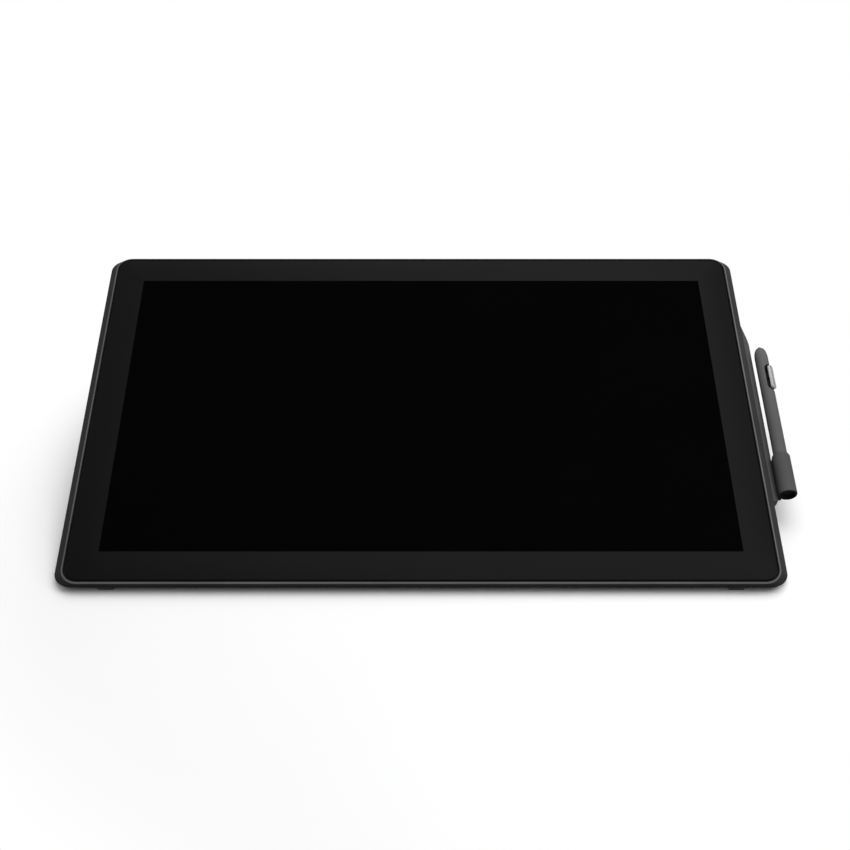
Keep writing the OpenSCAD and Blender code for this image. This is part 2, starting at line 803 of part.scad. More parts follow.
// Shell of a socket, just clear of the bay's floor, on a foot that stands on the main board
module socket_shell(at) {
  middle = bay_low + at[0];
  block(stretch(-socket_x, socket_l), span(middle, at[1] / 2), stretch(socket_d, at[2]));
  block([-board_out, -socket_x + socket_l], span(middle, at[1] / 2 - socket_wall), [board_back, socket_d]);
}

// Mouth of a socket with a tongue
module socket_mouth(at, tongue) {
  middle = bay_low + at[0];
  depth = socket_d + at[2] / 2;
  difference() {
    block([-socket_x - clear_cut, -socket_x + socket_l - socket_back], span(middle, at[1] / 2 - socket_wall),
      span(depth, at[2] / 2 - socket_wall));
    block([-socket_x + socket_wall, -socket_x + socket_l], span(middle, at[1] / 2 - tongue_side),
      span(depth, tongue / 2));
  }
}

module power_inlet() color([0.12, 0.12, 0.12]) tilted() {
  middle = bay_low + inlet_at[0];
  depth = socket_d + inlet_at[2] / 2;
  difference() {
    socket_shell(inlet_at);
    rod([-socket_x - clear_cut, -socket_x + socket_l - socket_back], middle, depth, inlet_r);
  }
  rod([-socket_x + socket_wall, -socket_x + socket_l - socket_back / 2], middle, depth, inlet_pin_r);
}

module usb_socket() color([0.78, 0.78, 0.8]) tilted() difference() {
  socket_shell(usb_at);
  socket_mouth(usb_at, usb_tongue);
}

module video_socket_lower() color([0.78, 0.78, 0.8]) tilted() difference() {
  socket_shell(video_low_at);
  socket_mouth(video_low_at, video_tongue);
}

module video_socket_upper() color([0.78, 0.78, 0.8]) tilted() difference() {
  socket_shell(video_high_at);
  socket_mouth(video_high_at, video_tongue);
}

module lock_plate() color([0.6, 0.6, 0.62]) tilted() difference() {
  block(stretch(-bay_x + bay_wall, bay_wall), span(bay_low + lock_at, lock_slot[0] / 2 + lock_edge),
    span(lock_d, lock_slot[1] / 2 + lock_edge));
  block(span(-bay_x, 3 * bay_wall), span(bay_low + lock_at, lock_slot[0] / 2),
    span(lock_d, lock_slot[1] / 2));
}

module cover_screws() color([0.2, 0.2, 0.2]) tilted()
  for (at = all_cover_screws) {
    post(at[0], at[1], screw_r, [chassis_d, seat_d]);
    post(at[0], at[1], screw_head_r, [seat_d, seat_d + screw_head_h]);
  }

// Feet

module front_foot(side) color([0.05, 0.05, 0.05]) level()
  translate([side * foot_x, edge_y + foot_back, 0])
    along_x(-foot_w / 2, foot_w / 2) difference() {
      union() {
        translate([foot_r, 0]) square([foot_l - foot_r, foot_h]);
        translate([0, foot_r]) square([foot_l, foot_h - foot_r]);
        translate([foot_r, foot_r]) circle(foot_r);
      }
      polygon([[-foot_back, foot_h], [keel_y - edge_y - foot_back, keel_z], [foot_l + clear_cut, keel_z],
        [foot_l + clear_cut, foot_h + clear_cut], [-foot_back, foot_h + clear_cut]]);
    }

module front_foot_left() front_foot(-1);
module front_foot_right() front_foot(1);

// Stand

// Ear of a bracket: stands on the base and ends round about its hole
module ear(v, depth, r, hole) {
  difference() {
    union() {
      translate([v - r, -depth]) square([2 * r, depth - body_t]);
      translate([v, -depth]) circle(r);
    }
    translate([v, -depth]) circle(hole);
  }
}

module bracket() {
  difference() {
    block([ear_in_x - base_side, ear_out_x + ear_t + base_side], [base_low, base_high],
      [body_t, body_t + base_t]);
    for (x = bracket_screw_x, v = bracket_screw_v) {
      post(x, v, screw_r + fit_gap, [body_t - clear_cut, hinge_d]);
      post(x, v, screw_head_r + fit_gap, [body_t + base_t - screw_head_h, hinge_d]);
    }
  }
  along_x(ear_in_x, ear_in_x + ear_t) ear(0, hinge_d, barrel_r, pin_r + pin_gap);
  along_x(ear_out_x, ear_out_x + ear_t) ear(0, hinge_d, barrel_r, pin_r + pin_gap);
}

module hinge_bracket_left() color([0.3, 0.3, 0.32]) tilted() mirror([1, 0, 0]) bracket();

module hinge_bracket_right() color([0.3, 0.3, 0.32]) tilted() {
  bracket();
  along_x(lever_ear_x, lever_ear_x + lever_ear_t) ear(lever_v, lever_d, lever_hub_r, lever_pin_r);
  along_x(ear_out_x, ear_out_x + ear_t) ear(lever_v, lever_d, lever_hub_r, lever_pin_r);
}

module bracket_screws() color([0.65, 0.65, 0.67]) tilted()
  for (at = bracket_screw_at) {
    post(at[0], at[1], screw_r, [back_inner - bracket_screw_grip, body_t + base_t - screw_head_h]);
    post(at[0], at[1], screw_head_r, [body_t + base_t - screw_head_h, body_t + base_t]);
  }

// Leg at rest, drawn about its hinge axis with y back and z up
module leg_side() {
  translate([0, hinge_y, hinge_z]) difference() {
    union() {
      rotate([0, 90, 0]) translate([0, 0, barrel_x]) cylinder(r = barrel_r, h = barrel_l);
      translate([barrel_x, 0, -leg_t / 2]) cube([arm_w, leg_l - foot_bar_l / 2, leg_t]);
    }
    rotate([0, 90, 0]) translate([0, 0, barrel_x - clear_cut])
      cylinder(r = pin_r, h = barrel_l + 2 * clear_cut);
  }
}

// Rounded bar across the leg's end, in plan
module foot_bar(inset) {
  r = foot_bar_l / 2 - inset;
  square([2 * (foot_bar_half - foot_bar_l / 2), 2 * r], center = true);
  for (side = [-1, 1]) translate([side * (foot_bar_half - foot_bar_l / 2), 0]) circle(r);
}

module stand_leg() color([0.14, 0.14, 0.15]) level() {
  both_sides() leg_side();
  translate([0, hinge_y + leg_l - foot_bar_l / 2, pad_h])
    linear_extrude(hinge_z + leg_t / 2 - pad_h) foot_bar(0);
}

module leg_pad() color([0.04, 0.04, 0.04]) level()
  translate([0, hinge_y + leg_l - foot_bar_l / 2, 0]) linear_extrude(pad_h) foot_bar(pad_in);

module hinge_pins() color([0.75, 0.75, 0.77]) tilted() both_sides() {
  rod([ear_in_x - clip_gap - 2 * clip_t, ear_out_x + ear_t + fit_gap + head_t], 0, hinge_d, pin_r);
  rod([ear_out_x + ear_t + fit_gap, ear_out_x + ear_t + fit_gap + head_t], 0, hinge_d, clip_r);
}

// Flat ring about the hinge axis
module ring(x, r) {
  difference() {
    rod(x, 0, hinge_d, r);
    rod([x[0] - clear_cut, x[1] + clear_cut], 0, hinge_d, pin_r);
  }
}

module pin_clips() color([0.6, 0.6, 0.62]) tilted() both_sides()
  ring(stretch(ear_in_x - clip_gap - clip_t, clip_t), clip_r);

module friction_washers() color([0.5, 0.42, 0.3]) tilted() both_sides() {
  ring(stretch(barrel_x - washer_t, washer_t), washer_r);
  ring(stretch(barrel_x + barrel_l, washer_t), washer_r);
}

// Brake

// Part of a ring about the hinge axis, from one angle to another, turned from up the screen to the back
module ring_part(inner, outer) {
  reach = 2 * outer;
  translate([0, -hinge_d]) intersection() {
    difference() {
      circle(outer);
      circle(inner);
    }
    polygon([[0, 0], for (a = [brake_from, (brake_from + brake_to) / 2, brake_to])
      [reach * cos(a), -reach * sin(a)]]);
  }
}

lever_end = [lever_reach, -lever_d - lever_lift];
lever_hub = [lever_v, -lever_d];
lever_run = (lever_end - lever_hub) / norm(lever_end - lever_hub);
shoe_mid = [(shoe_r + shoe_t / 2) * cos(web_at), -hinge_d - (shoe_r + shoe_t / 2) * sin(web_at)];

module release_lever() color([0.1, 0.1, 0.11]) tilted() {
  along_x(lever_x, lever_x + lever_w) difference() {
    union() {
      translate(lever_hub) circle(lever_hub_r);
      bar(lever_hub, lever_end - lever_run * lever_plate_l / 2, lever_t);
      bar(lever_hub, shoe_mid, shoe_t);
      ring_part(barrel_r, shoe_r + shoe_t);
    }
    translate(lever_hub) circle(lever_pin_r + pin_gap);
    translate([0, -hinge_d]) circle(shoe_r);
  }
  along_x(lever_x, lever_x + lever_plate_w) {
    bar(lever_end - lever_run * lever_plate_l, lever_end, lever_t);
    translate(lever_end) circle(lever_t / 2);
  }
}

module brake_pad() color([0.35, 0.2, 0.15]) tilted()
  along_x(lever_x, lever_x + lever_w) ring_part(brake_r, shoe_r);

module lever_pin() color([0.75, 0.75, 0.77]) tilted() {
  rod([lever_ear_x, ear_out_x + ear_t + head_t], lever_v, lever_d, lever_pin_r);
  rod([ear_out_x + ear_t, ear_out_x + ear_t + head_t], lever_v, lever_d, lever_pin_r + lever_head_edge);
}

// Lever spring: a helix round the lever pin whose two ends run straight
spring_r = lever_pin_r + spring_gap + spring_wire / 2;
spring_from = lever_x + lever_w + spring_wire / 2 + 2 * fit_gap;
spring_pitch = (ear_out_x - 2 * fit_gap - spring_wire / 2 - spring_from) / spring_turns;
spring_rings = 8;
spring_sides = 6;
spring_leg = 3;
function spring_point(i) = let (a = 360 * i / spring_rings)
  [spring_from + spring_pitch * i / spring_rings, lever_v + spring_r * cos(a), -lever_d + spring_r * sin(a)];
spring_last = spring_turns * spring_rings;
spring_path = concat([spring_point(0) - [0, 0, spring_leg]],
  [for (i = [0 : spring_last]) spring_point(i)], [spring_point(spring_last) + [0, 0, spring_leg]]);

// Least gap of the spring to itself, between points half a turn or more apart
spring_gaps = [for (i = [0 : spring_last], j = [0 : spring_last]) if (j - i >= spring_rings / 2)
  norm(spring_point(i) - spring_point(j)) - spring_wire];
echo(least_gap_of_spring = min(spring_gaps));

// Tube of a few sides along a path
module tube(path, r, sides) {
  last = len(path) - 1;
  function along(i) = path[min(i + 1, last)] - path[max(i - 1, 0)];
  function unit(a) = a / norm(a);
  points = [for (i = [0 : last]) let (t = unit(along(i)), s = unit(cross(t, [1, 0, 0])), u = cross(s, t))
    for (k = [0 : sides - 1]) path[i] + r * (s * cos(360 * k / sides) + u * sin(360 * k / sides))];
  walls = [for (i = [0 : last - 1], k = [0 : sides - 1]) let (a = i * sides, n = (k + 1) % sides)
    each [[a + k, a + n, a + sides + k], [a + n, a + sides + n, a + sides + k]]];
  end = last * sides;
  caps = [for (k = [1 : sides - 2]) each [[0, k + 1, k], [end, end + k, end + k + 1]]];
  polyhedron(points, concat(walls, caps));
}

module lever_spring() color([0.7, 0.7, 0.72]) tilted() tube(spring_path, spring_wire / 2, spring_sides);

// Keys

module key(x) {
  tilted() {
    block(span(x, key_w / 2), [stem_low, key_top], span(key_d, key_h / 2));
    block(span(x, key_w / 2 + flange_side), stretch(key_ceiling - fit_gap - flange_t, flange_t),
      span(key_d, key_h / 2 + flange_end));
  }
}

module menu_key() color([0.15, 0.15, 0.16]) key(key_x);
module up_key() color([0.15, 0.15, 0.16]) key(key_x + key_pitch);
module down_key() color([0.15, 0.15, 0.16]) key(key_x + 2 * key_pitch);
module source_key() color([0.15, 0.15, 0.16]) key(key_x + 3 * key_pitch);
module power_key() color([0.2, 0.2, 0.21]) key(power_x);

// Pen holder

// Curved run-in: rises smoothly from 0 to 1
function ease(t) = (1 - cos(180 * t)) / 2;
run_steps = 8;
holder_outer = body_half_w + holder_out;
holder_inner = slope_half(frame_d + holder_back_d);
holder_screw_x = (holder_inner + body_half_w) / 2;
holder_screw_in = 42;
holder_screw_v = [holder_low + holder_screw_in, holder_high - holder_screw_in];
holder_bevel = 3;

// Outline from the front: straight inside, with an outer edge that eases out and in again
module holder_outline() {
  out = holder_out + clear_cut;
  low_run = [for (i = [0 : run_steps]) let (t = i / run_steps)
    [holder_outer - out * (1 - ease(t)), holder_low + holder_low_run * t]];
  high_run = [for (i = [0 : run_steps]) let (t = i / run_steps)
    [holder_outer - out * ease(t), holder_high - holder_high_run * (1 - t)]];
  polygon(concat([[holder_inner - clear_cut, holder_low]], low_run, high_run,
    [[holder_inner - clear_cut, holder_high]]));
}

// Section of the bracket: it lies on the rear cover's edge and shoulder and carries on the flare outside
module holder_section() {
  polygon([
    [body_half_w + fit_gap, -frame_d],
    [holder_outer, -frame_d - holder_edge_d],
    [holder_outer, -frame_d - holder_back_d + holder_bevel],
    [holder_outer - holder_bevel, -frame_d - holder_back_d],
    [holder_inner + fit_gap, -frame_d - holder_back_d],
    [body_half_w - upright_in + fit_gap, -frame_d - upright_h]]);
}

module holder_bracket() color([0.2, 0.2, 0.21]) tilted() difference() {
  intersection() {
    translate([0, 0, -body_t]) linear_extrude(body_t) holder_outline();
    translate([0, holder_high, 0]) rotate([90, 0, 0])
      linear_extrude(holder_high - holder_low) holder_section();
  }
  for (v = holder_screw_v) post(holder_screw_x, v, screw_r + fit_gap, [frame_d, body_t]);
}

module holder_screws() color([0.2, 0.2, 0.2]) tilted()
  for (v = holder_screw_v) {
    back = frame_d + holder_back_d;
    post(holder_screw_x, v, screw_r, [back - holder_screw_l, back]);
    post(holder_screw_x, v, screw_head_r, [back, back + screw_head_h]);
  }

// Turned shape about the pen's axis, drawn upwards from the given place
module turned(from) {
  translate([pen_x, from, -pen_d]) rotate([-90, 0, 0]) rotate_extrude() children();
}

// Half section of a post with rounded ends
module round_post(r, l, top_round, low_round) {
  intersection() {
    union() {
      translate([0, low_round]) square([r, l - top_round - low_round]);
      square([r - low_round, low_round]);
      square([r - top_round, l]);
      translate([r - top_round, l - top_round]) circle(top_round);
      translate([r - low_round, low_round]) circle(low_round);
    }
    square([r, l]);
  }
}

cup_low_round = 1.2;
neck_in = 1.5;
neck_edge = 4;
neck_d = [pen_d + neck_edge, frame_d + holder_back_d - neck_edge];

module pen_cup() color([0.28, 0.28, 0.29]) tilted() difference() {
  union() {
    turned(cup_low) round_post(cup_r, cup_l, cup_round, cup_low_round);
    block([holder_outer, pen_x - cup_r / 2], [cup_low + neck_in, cup_low + cup_l - neck_in], neck_d);
  }
  translate([pen_x, cup_low, -pen_d]) rotate([-90, 0, 0]) {
    translate([0, 0, -clear_cut]) cylinder(r = pen_r, h = cup_hollow + clear_cut);
    translate([0, 0, cup_hollow + cup_floor]) cylinder(r = pen_r + cup_gap, h = cup_l);
  }
}

// Pen

module pen_barrel() color([0.22, 0.22, 0.23]) tilted() difference() {
  turned(pen_low + tail_l) translate([pen_bore, 0]) square([pen_wall, pen_l - tail_l - tip_l]);
  switch_window([pen_bore - clear_cut, pen_r + clear_cut]);
}

module pen_tip() color([0.15, 0.15, 0.16]) tilted() turned(tip_end - tip_l) difference() {
  steps = 12;
  polygon(concat([[0, 0]],
    [for (i = [0 : steps]) let (a = 90 * i / steps)
      [max(pen_r * cos(a), nib_r + nib_gap + tip_flat), tip_l * sin(a)]],
    [[0, tip_l]]));
  translate([0, -clear_cut]) square([nib_r + nib_gap, tip_l + 2 * clear_cut]);
}

tail_edge = 0.2;
coil_low = tip_end - tip_l - coil_l;
nib_low = coil_low + nib_travel + nib_gap;
nib_l = tip_end + nib_out - nib_low;

module pen_tail() color([0.12, 0.12, 0.13]) tilted() {
  turned(pen_low) round_post(pen_r, tail_l, tail_edge, tail_l / 2);
  turned(pen_low + tail_l) square([pen_bore - core_gap, tail_l]);
}

module pen_core() color([0.9, 0.9, 0.88]) tilted() difference() {
  turned(pen_low + 2 * tail_l) square([pen_bore - core_gap, coil_low - pen_low - 2 * tail_l]);
  difference() {
    switch_window([switch_floor - switch_room, pen_r]);
    switch_frame() translate([0, 0, switch_floor - fit_gap - switch_room])
      linear_extrude(switch_room) square([pen_r, rocker_l], center = true);
  }
}

module pen_coil() color([0.55, 0.3, 0.15]) tilted() turned(coil_low)
  translate([coil_bore, 0]) square([pen_bore - core_gap - coil_bore, coil_l]);

module pen_nib() color([0.15, 0.15, 0.15]) tilted()
  translate([pen_x, nib_low, -pen_d]) rotate([-90, 0, 0]) {
    cylinder(r = nib_r, h = nib_l - nib_r);
    translate([0, 0, nib_l - nib_r]) sphere(nib_r);
  }

// Place of the side switch: its length runs up the pen and its face looks out of the barrel
module switch_frame() {
  translate([pen_x, switch_v, -pen_d]) rotate([0, 90 - switch_turn, 0]) children();
}

// Window for the side switch between two radii
module switch_window(radii) {
  switch_frame() switch_shape(switch_l + 2 * switch_gap, switch_w + 2 * switch_gap, radii);
}

// Long shape with round ends between two radii
module switch_shape(l, width, radii) {
  translate([0, 0, radii[0]]) linear_extrude(radii[1] - radii[0]) {
    square([width, l - width], center = true);
    for (end = [-1, 1]) translate([0, end * (l - width) / 2]) circle(width / 2);
  }
}

switch_bevel = 1;
switch_top = pen_r + switch_proud;

module pen_switch() color([0.7, 0.7, 0.72]) tilted() switch_frame() {
  switch_shape(switch_l, switch_w, [switch_floor, switch_top - switch_bevel]);
  hull() {
    switch_shape(switch_l, switch_w, stretch(switch_top - switch_bevel, slice), $fn = hull_fn);
    switch_shape(switch_l - 2 * switch_bevel, switch_w - 2 * switch_bevel,
      stretch(switch_top - slice, slice), $fn = hull_fn);
  }
}

cover_glass();
glass_tape();
front_frame();
rear_cover();
optical_bond();
lcd_cell();
optical_sheets();
light_guide();
led_bar();
reflector();
panel_tray();
sensor_board();
shield_foil();
chassis_plate();
main_board();
power_board();
controller_board();
board_screws();
panel_cable();
sensor_cable();
key_board();
power_light();
connector_tray();
power_inlet();
video_socket_upper();
video_socket_lower();
usb_socket();
lock_plate();
cover_screws();
front_foot_left();
front_foot_right();
hinge_bracket_left();
hinge_bracket_right();
bracket_screws();
lever_pin();
lever_spring();
stand_leg();
leg_pad();
hinge_pins();
pin_clips();
friction_washers();
release_lever();
brake_pad();
power_key();
menu_key();
up_key();
down_key();
source_key();
holder_bracket();
holder_screws();
pen_cup();
pen_barrel();
pen_tip();
pen_tail();
pen_core();
pen_coil();
pen_nib();
pen_switch();
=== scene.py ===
"""Looks of a pen display on a folding stand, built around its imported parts.

Shapes are drawn in millimetres in the screen's own frame: x to the right, y up the screen and z out of the
glass, so a depth behind the glass face is a negative z. One matrix then places them on the desk in metres.
"""
import json
import math

import bmesh
import bpy
from mathutils import Matrix, Vector

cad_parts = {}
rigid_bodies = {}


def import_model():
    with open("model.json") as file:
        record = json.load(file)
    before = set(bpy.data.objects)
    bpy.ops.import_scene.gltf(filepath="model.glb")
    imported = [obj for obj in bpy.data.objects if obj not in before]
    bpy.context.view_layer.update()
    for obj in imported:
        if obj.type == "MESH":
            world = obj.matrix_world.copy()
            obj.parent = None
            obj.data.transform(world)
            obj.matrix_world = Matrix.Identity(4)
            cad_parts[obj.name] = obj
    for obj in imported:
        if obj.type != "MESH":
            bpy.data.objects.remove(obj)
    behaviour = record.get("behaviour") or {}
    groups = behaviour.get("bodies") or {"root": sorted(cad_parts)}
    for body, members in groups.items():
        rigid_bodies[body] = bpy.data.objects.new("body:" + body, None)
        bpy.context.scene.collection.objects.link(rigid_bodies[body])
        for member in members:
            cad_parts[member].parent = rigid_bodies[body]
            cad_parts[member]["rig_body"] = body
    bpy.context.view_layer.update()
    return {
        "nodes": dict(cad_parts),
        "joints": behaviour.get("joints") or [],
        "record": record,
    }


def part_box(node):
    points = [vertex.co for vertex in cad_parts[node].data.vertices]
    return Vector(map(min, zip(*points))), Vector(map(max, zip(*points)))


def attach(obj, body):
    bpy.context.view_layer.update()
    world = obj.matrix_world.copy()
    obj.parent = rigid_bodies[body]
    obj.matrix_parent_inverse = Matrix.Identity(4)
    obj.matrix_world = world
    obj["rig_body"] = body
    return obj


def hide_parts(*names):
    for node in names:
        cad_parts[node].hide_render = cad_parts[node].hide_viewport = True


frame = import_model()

# Frame of the screen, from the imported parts
MM = 0.001
PRESS_AXIS = next(joint["axis"] for joint in frame["joints"] if joint["name"] == "power_press")
TILT = math.asin(-PRESS_AXIS[2])
GLASS_T = 2.0


def screen_matrix():
    """Matrix from the screen's frame, in millimetres, to the desk, in metres."""
    low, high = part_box("cover_glass")
    out = Vector((0, -math.sin(TILT), math.cos(TILT)))
    middle = (low + high) / 2 + out * (GLASS_T / 2 * MM)
    return Matrix.Translation(middle) @ Matrix.Rotation(TILT, 4, "X") @ Matrix.Scale(MM, 4)


SCREEN = screen_matrix()
TO_SCREEN = SCREEN.inverted()


def box_of(points):
    """Lowest and highest corner of a list of points."""
    low = Vector([min(point[axis] for point in points) for axis in range(3)])
    high = Vector([max(point[axis] for point in points) for axis in range(3)])
    return low, high


def screen_box(node):
    """Lowest and highest corner of a node in the screen's frame."""
    return box_of([TO_SCREEN @ vertex.co for vertex in frame["nodes"][node].data.vertices])


# Glass and its picture area, in millimetres as all sizes of the object are
PICTURE_HALF_W = 263.5
PICTURE_HALF_H = 148.2
GLASS_HIGH = screen_box("cover_glass")[1]
GLASS_HALF_W = GLASS_HIGH.x
GLASS_HALF_H = GLASS_HIGH.y
GLASS_R = 11.0
GLASS_EDGE = 0.35
GLASS_EDGE_STEPS = 3
GLASS_GAP = 0.8

# Front frame: a seat for the glass, a lip beside it, a rim painted lighter as a highlight, and walls that
# flare outwards
PANEL_LOW, PANEL_HIGH = screen_box("panel_tray")
PANEL_GAP = 0.2
WINDOW_R = 1.0
SEAT_GAP = 0.4
LIP = 0.5
RIM_W = 2.6
RIM_D = 1.2
EDGE_H = 5.6
SIDE_FLARE = 7.1
TOP_FLARE = 4.5
BOTTOM_FLARE = 0.7
KEEL_IN = 3.6
CORNER_R = 12.5
FRAME_D = -PANEL_LOW.z
SEAM = 0.3
RIM_HALF_W = GLASS_HALF_W + GLASS_GAP + RIM_W
RIM_HALF_H = GLASS_HALF_H + GLASS_GAP + RIM_W
BODY_HALF_W = RIM_HALF_W + SIDE_FLARE
BODY_TOP = RIM_HALF_H + TOP_FLARE
EDGE_LOW = -RIM_HALF_H - BOTTOM_FLARE

# Rounded inner edge of the lip: how far out, and how deep
LIP_EDGE = ((0, 0.3), (0.1, 0.08), (0.3, 0))

# Turns of the frame's wall, as shares of the way from one row to the next
RIM_START = 0.22
RIM_END = 0.86
RIM_TURN = 0.06
EDGE_TURN = 0.1
MIDWAY = 0.5

# Rear cover
BODY_T = -screen_box("rear_cover")[0].z
COVER_WALL = 2.5
UPRIGHT_H = 5.0
UPRIGHT_D = FRAME_D + UPRIGHT_H
UPRIGHT_IN = 3.5
UPRIGHT_DROP = 2.5
SHOULDER_D = 30.0
SHOULDER_IN = 37.0
SHOULDER_DROP = 22.0
BACK_HALF_W = 205.0
BACK_TOP = 118.0
BACK_FLAT = 40.0
BACK_R = 22.0
BACK_SOFT = 0.15
BACK_SOFT_STEPS = 4

# What is cut out of the rear cover
VENT_COUNT = 31
VENT_PITCH = 9.6
VENT_W = 3.0
VENT_R = 1.3
VENT_L = 27.0
VENT_STEPS = 4
VENT_Y = (BACK_TOP + BODY_TOP - SHOULDER_DROP) / 2
WELL_R = 3.4
WELL_WALL_R = 5.5
WELL_D = 17.2
CHASSIS_BACK = 13.2
MOUNT_HOLE_R = 2.2
MOUNT_HALF = 50.0
MOUNT_Y = 35.0
SCREW_HOLE_R = 1.65
KEY_W = 11.0
KEY_H = 2.8
KEY_GAP = 0.25
FIT_GAP = 0.2
CUT_PAST = 5.0
MOUTH_EDGE = 0.4
KEYS = ["menu_key", "up_key", "down_key", "source_key", "power_key"]

# Fineness of the shapes
CORNER_STEPS = 10
EDGE_STEPS = 4
BEVEL_STEPS = 2
POST_SIDES = 32
SMOOTH_ANGLE = math.radians(32)
HARD_ANGLE = math.radians(35)
FLAT_ANGLE = math.radians(16)
TURNED_ANGLE = math.radians(40)
WIRE_ANGLE = math.radians(60)
NODE_FLAT = math.radians(0.5)
NODE_MERGE = 0.002
SPIN_MERGE = 0.001
CARVE_MERGE = 0.03
BEVEL_MERGE_SHARE = 0.005
CUT_NEAR = 0.0001

# Least z of a face's normal that counts as looking out of the glass
GLASS_FACING = 0.9
# Least z of a rim face's normal that takes the rim's lighter colour, a painted highlight
RIM_HIGHLIGHT_FACING = 0.1
# Least z of a dish face's normal that takes the darker switch colour, painted shade
DISH_SHADE_FACING = 0.3

# Marks on the faces of a shape that is cut
OUTSIDE = 0
INSIDE = 1
CUT = 2
MARK_COUNT = 3


# Finishes, with their grains in millimetres

# Most values of a noise lie between these two
NOISE_LOW = 0.3
NOISE_HIGH = 0.7
WHITE = (1, 1, 1, 1)

MOULD_CLOUD = 60
MOULD_DETAIL = 5.0
MOULD_SWING = 0.05
MOULD_RELIEF = 0.35

METAL_LINE = 12
METAL_DETAIL = 4.0
METAL_STRETCH = (1, 40, 40)
METAL_TONES = (0.86, 1.1)
METAL_DULLER = 0.09
METAL_BRIGHTER = 0.07
METAL_LINE_HEIGHT = 0.01
METAL_RELIEF = 0.3

SPARKLE = 0.25
SPARKLE_SWING = 0.03
SPARKLE_HEIGHT = 0.002
SPARKLE_RELIEF = 0.1
PRINT_CLOUD = 90
PRINT_DETAIL = 3.0
PRINT_TONES = (0.94, 1.06)

MASK_DARK = (0.012, 0.09, 0.04, 1)
MASK_LIGHT = (0.016, 0.12, 0.05, 1)
TRACE_GREEN = (0.03, 0.2, 0.08, 1)
TRACE_SCALE = 90.0
TRACE_W = 0.06
TRACE_HEIGHT = 0.05
TRACE_RELIEF = 0.5
BOARD_ROUGHNESS = 0.4

FLOOR_CLOUD = 400
FLOOR_TONES = (0.96, 0.98)
FLOOR_BOUNCE = (0.2, 0.2, 0.2, 1)
FLOOR_ROUGHNESS = 0.9


def shader_node(tree, kind, values=None, **settings):
    """Shader node with its settings and the values of its open sockets."""
    made = tree.nodes.new(kind)
    for name, value in settings.items():
        setattr(made, name, value)
    for socket, value in (values or {}).items():
        made.inputs[socket].default_value = value
    return made


def blank_material(name):
    """New material, its node tree and its main shader."""
    made = bpy.data.materials.new(name)
    made.use_nodes = True
    return made, made.node_tree, made.node_tree.nodes["Principled BSDF"]


def object_noise(tree, size, detail=2.0, stretch=(1, 1, 1)):
    """Factor of a noise whose grains are about the given size in millimetres, on Object coordinates."""
    place = shader_node(tree, "ShaderNodeTexCoord")
    turn = shader_node(tree, "ShaderNodeMapping", {"Scale": stretch})
    noise = shader_node(tree, "ShaderNodeTexNoise", {"Scale": 1 / (size * MM), "Detail": detail})
    tree.links.new(place.outputs["Object"], turn.inputs["Vector"])
    tree.links.new(turn.outputs["Vector"], noise.inputs["Vector"])
    return noise.outputs["Fac"]


def ramp(tree, source, stops):
    """Colour that follows a source through two stops of place and colour."""
    made = shader_node(tree, "ShaderNodeValToRGB")
    for element, (place, colour) in zip(made.color_ramp.elements, stops):
        element.position = place
        element.color = (*colour, 1)
    tree.links.new(source, made.inputs["Fac"])
    return made.outputs["Color"]


def toned(tree, source, colour, shares, socket):
    """Lead a colour to a socket, from a darker to a lighter share of itself as a noise rises."""
    dark, light = [tuple(channel * share for channel in colour) for share in shares]
    tree.links.new(ramp(tree, source, [(NOISE_LOW, dark), (NOISE_HIGH, light)]), socket)


def polished(tree, source, low, high, socket):
    """Lead a roughness to a socket, from a low to a high level as a noise rises."""
    made = shader_node(tree, "ShaderNodeMapRange",
                       {"From Min": NOISE_LOW, "From Max": NOISE_HIGH, "To Min": low, "To Max": high})
    tree.links.new(source, made.inputs["Value"])
    tree.links.new(made.outputs["Result"], socket)


def relief(tree, shader, source, height, strength):
    """Bump of the given height in millimetres."""
    bump = shader_node(tree, "ShaderNodeBump", {"Distance": height * MM, "Strength": strength})
    tree.links.new(source, bump.inputs["Height"])
    tree.links.new(bump.outputs["Normal"], shader.inputs["Normal"])


def moulded(name, colour, roughness, specular, grain=0.5, grain_height=0.03, contrast=0.16):
    """Moulded plastic: a fine grain in its relief, and slow changes of tone and polish."""
    made, tree, shader = blank_material(name)
    fine = object_noise(tree, grain)
    slow = object_noise(tree, MOULD_CLOUD, MOULD_DETAIL)
    toned(tree, slow, colour, (1 - contrast, 1 + contrast), shader.inputs["Base Color"])
    polished(tree, slow, roughness - MOULD_SWING, roughness + MOULD_SWING, shader.inputs["Roughness"])
    shader.inputs["Specular IOR Level"].default_value = specular
    relief(tree, shader, fine, grain_height, MOULD_RELIEF)
    return made


def metal(name, colour, roughness, stretch=METAL_STRETCH):
    """Metal with fine lines, which run along x unless the stretch is even."""
    made, tree, shader = blank_material(name)
    lines = object_noise(tree, METAL_LINE, METAL_DETAIL, stretch)
    toned(tree, lines, colour, METAL_TONES, shader.inputs["Base Color"])
    polished(tree, lines, roughness - METAL_BRIGHTER, roughness + METAL_DULLER, shader.inputs["Roughness"])
    shader.inputs["Metallic"].default_value = 1.0
    relief(tree, shader, lines, METAL_LINE_HEIGHT, METAL_RELIEF)
    return made


def printed_glass(name, colour, roughness, specular):
    """Etched glass, printed behind: a faint sparkle in the etching over an even dark print."""
    made, tree, shader = blank_material(name)
    sparkle = object_noise(tree, SPARKLE)
    cloud = object_noise(tree, PRINT_CLOUD, PRINT_DETAIL)
    toned(tree, cloud, colour, PRINT_TONES, shader.inputs["Base Color"])
    polished(tree, sparkle, roughness - SPARKLE_SWING, roughness + SPARKLE_SWING, shader.inputs["Roughness"])
    shader.inputs["Specular IOR Level"].default_value = specular
    relief(tree, shader, sparkle, SPARKLE_HEIGHT, SPARKLE_RELIEF)
    return made


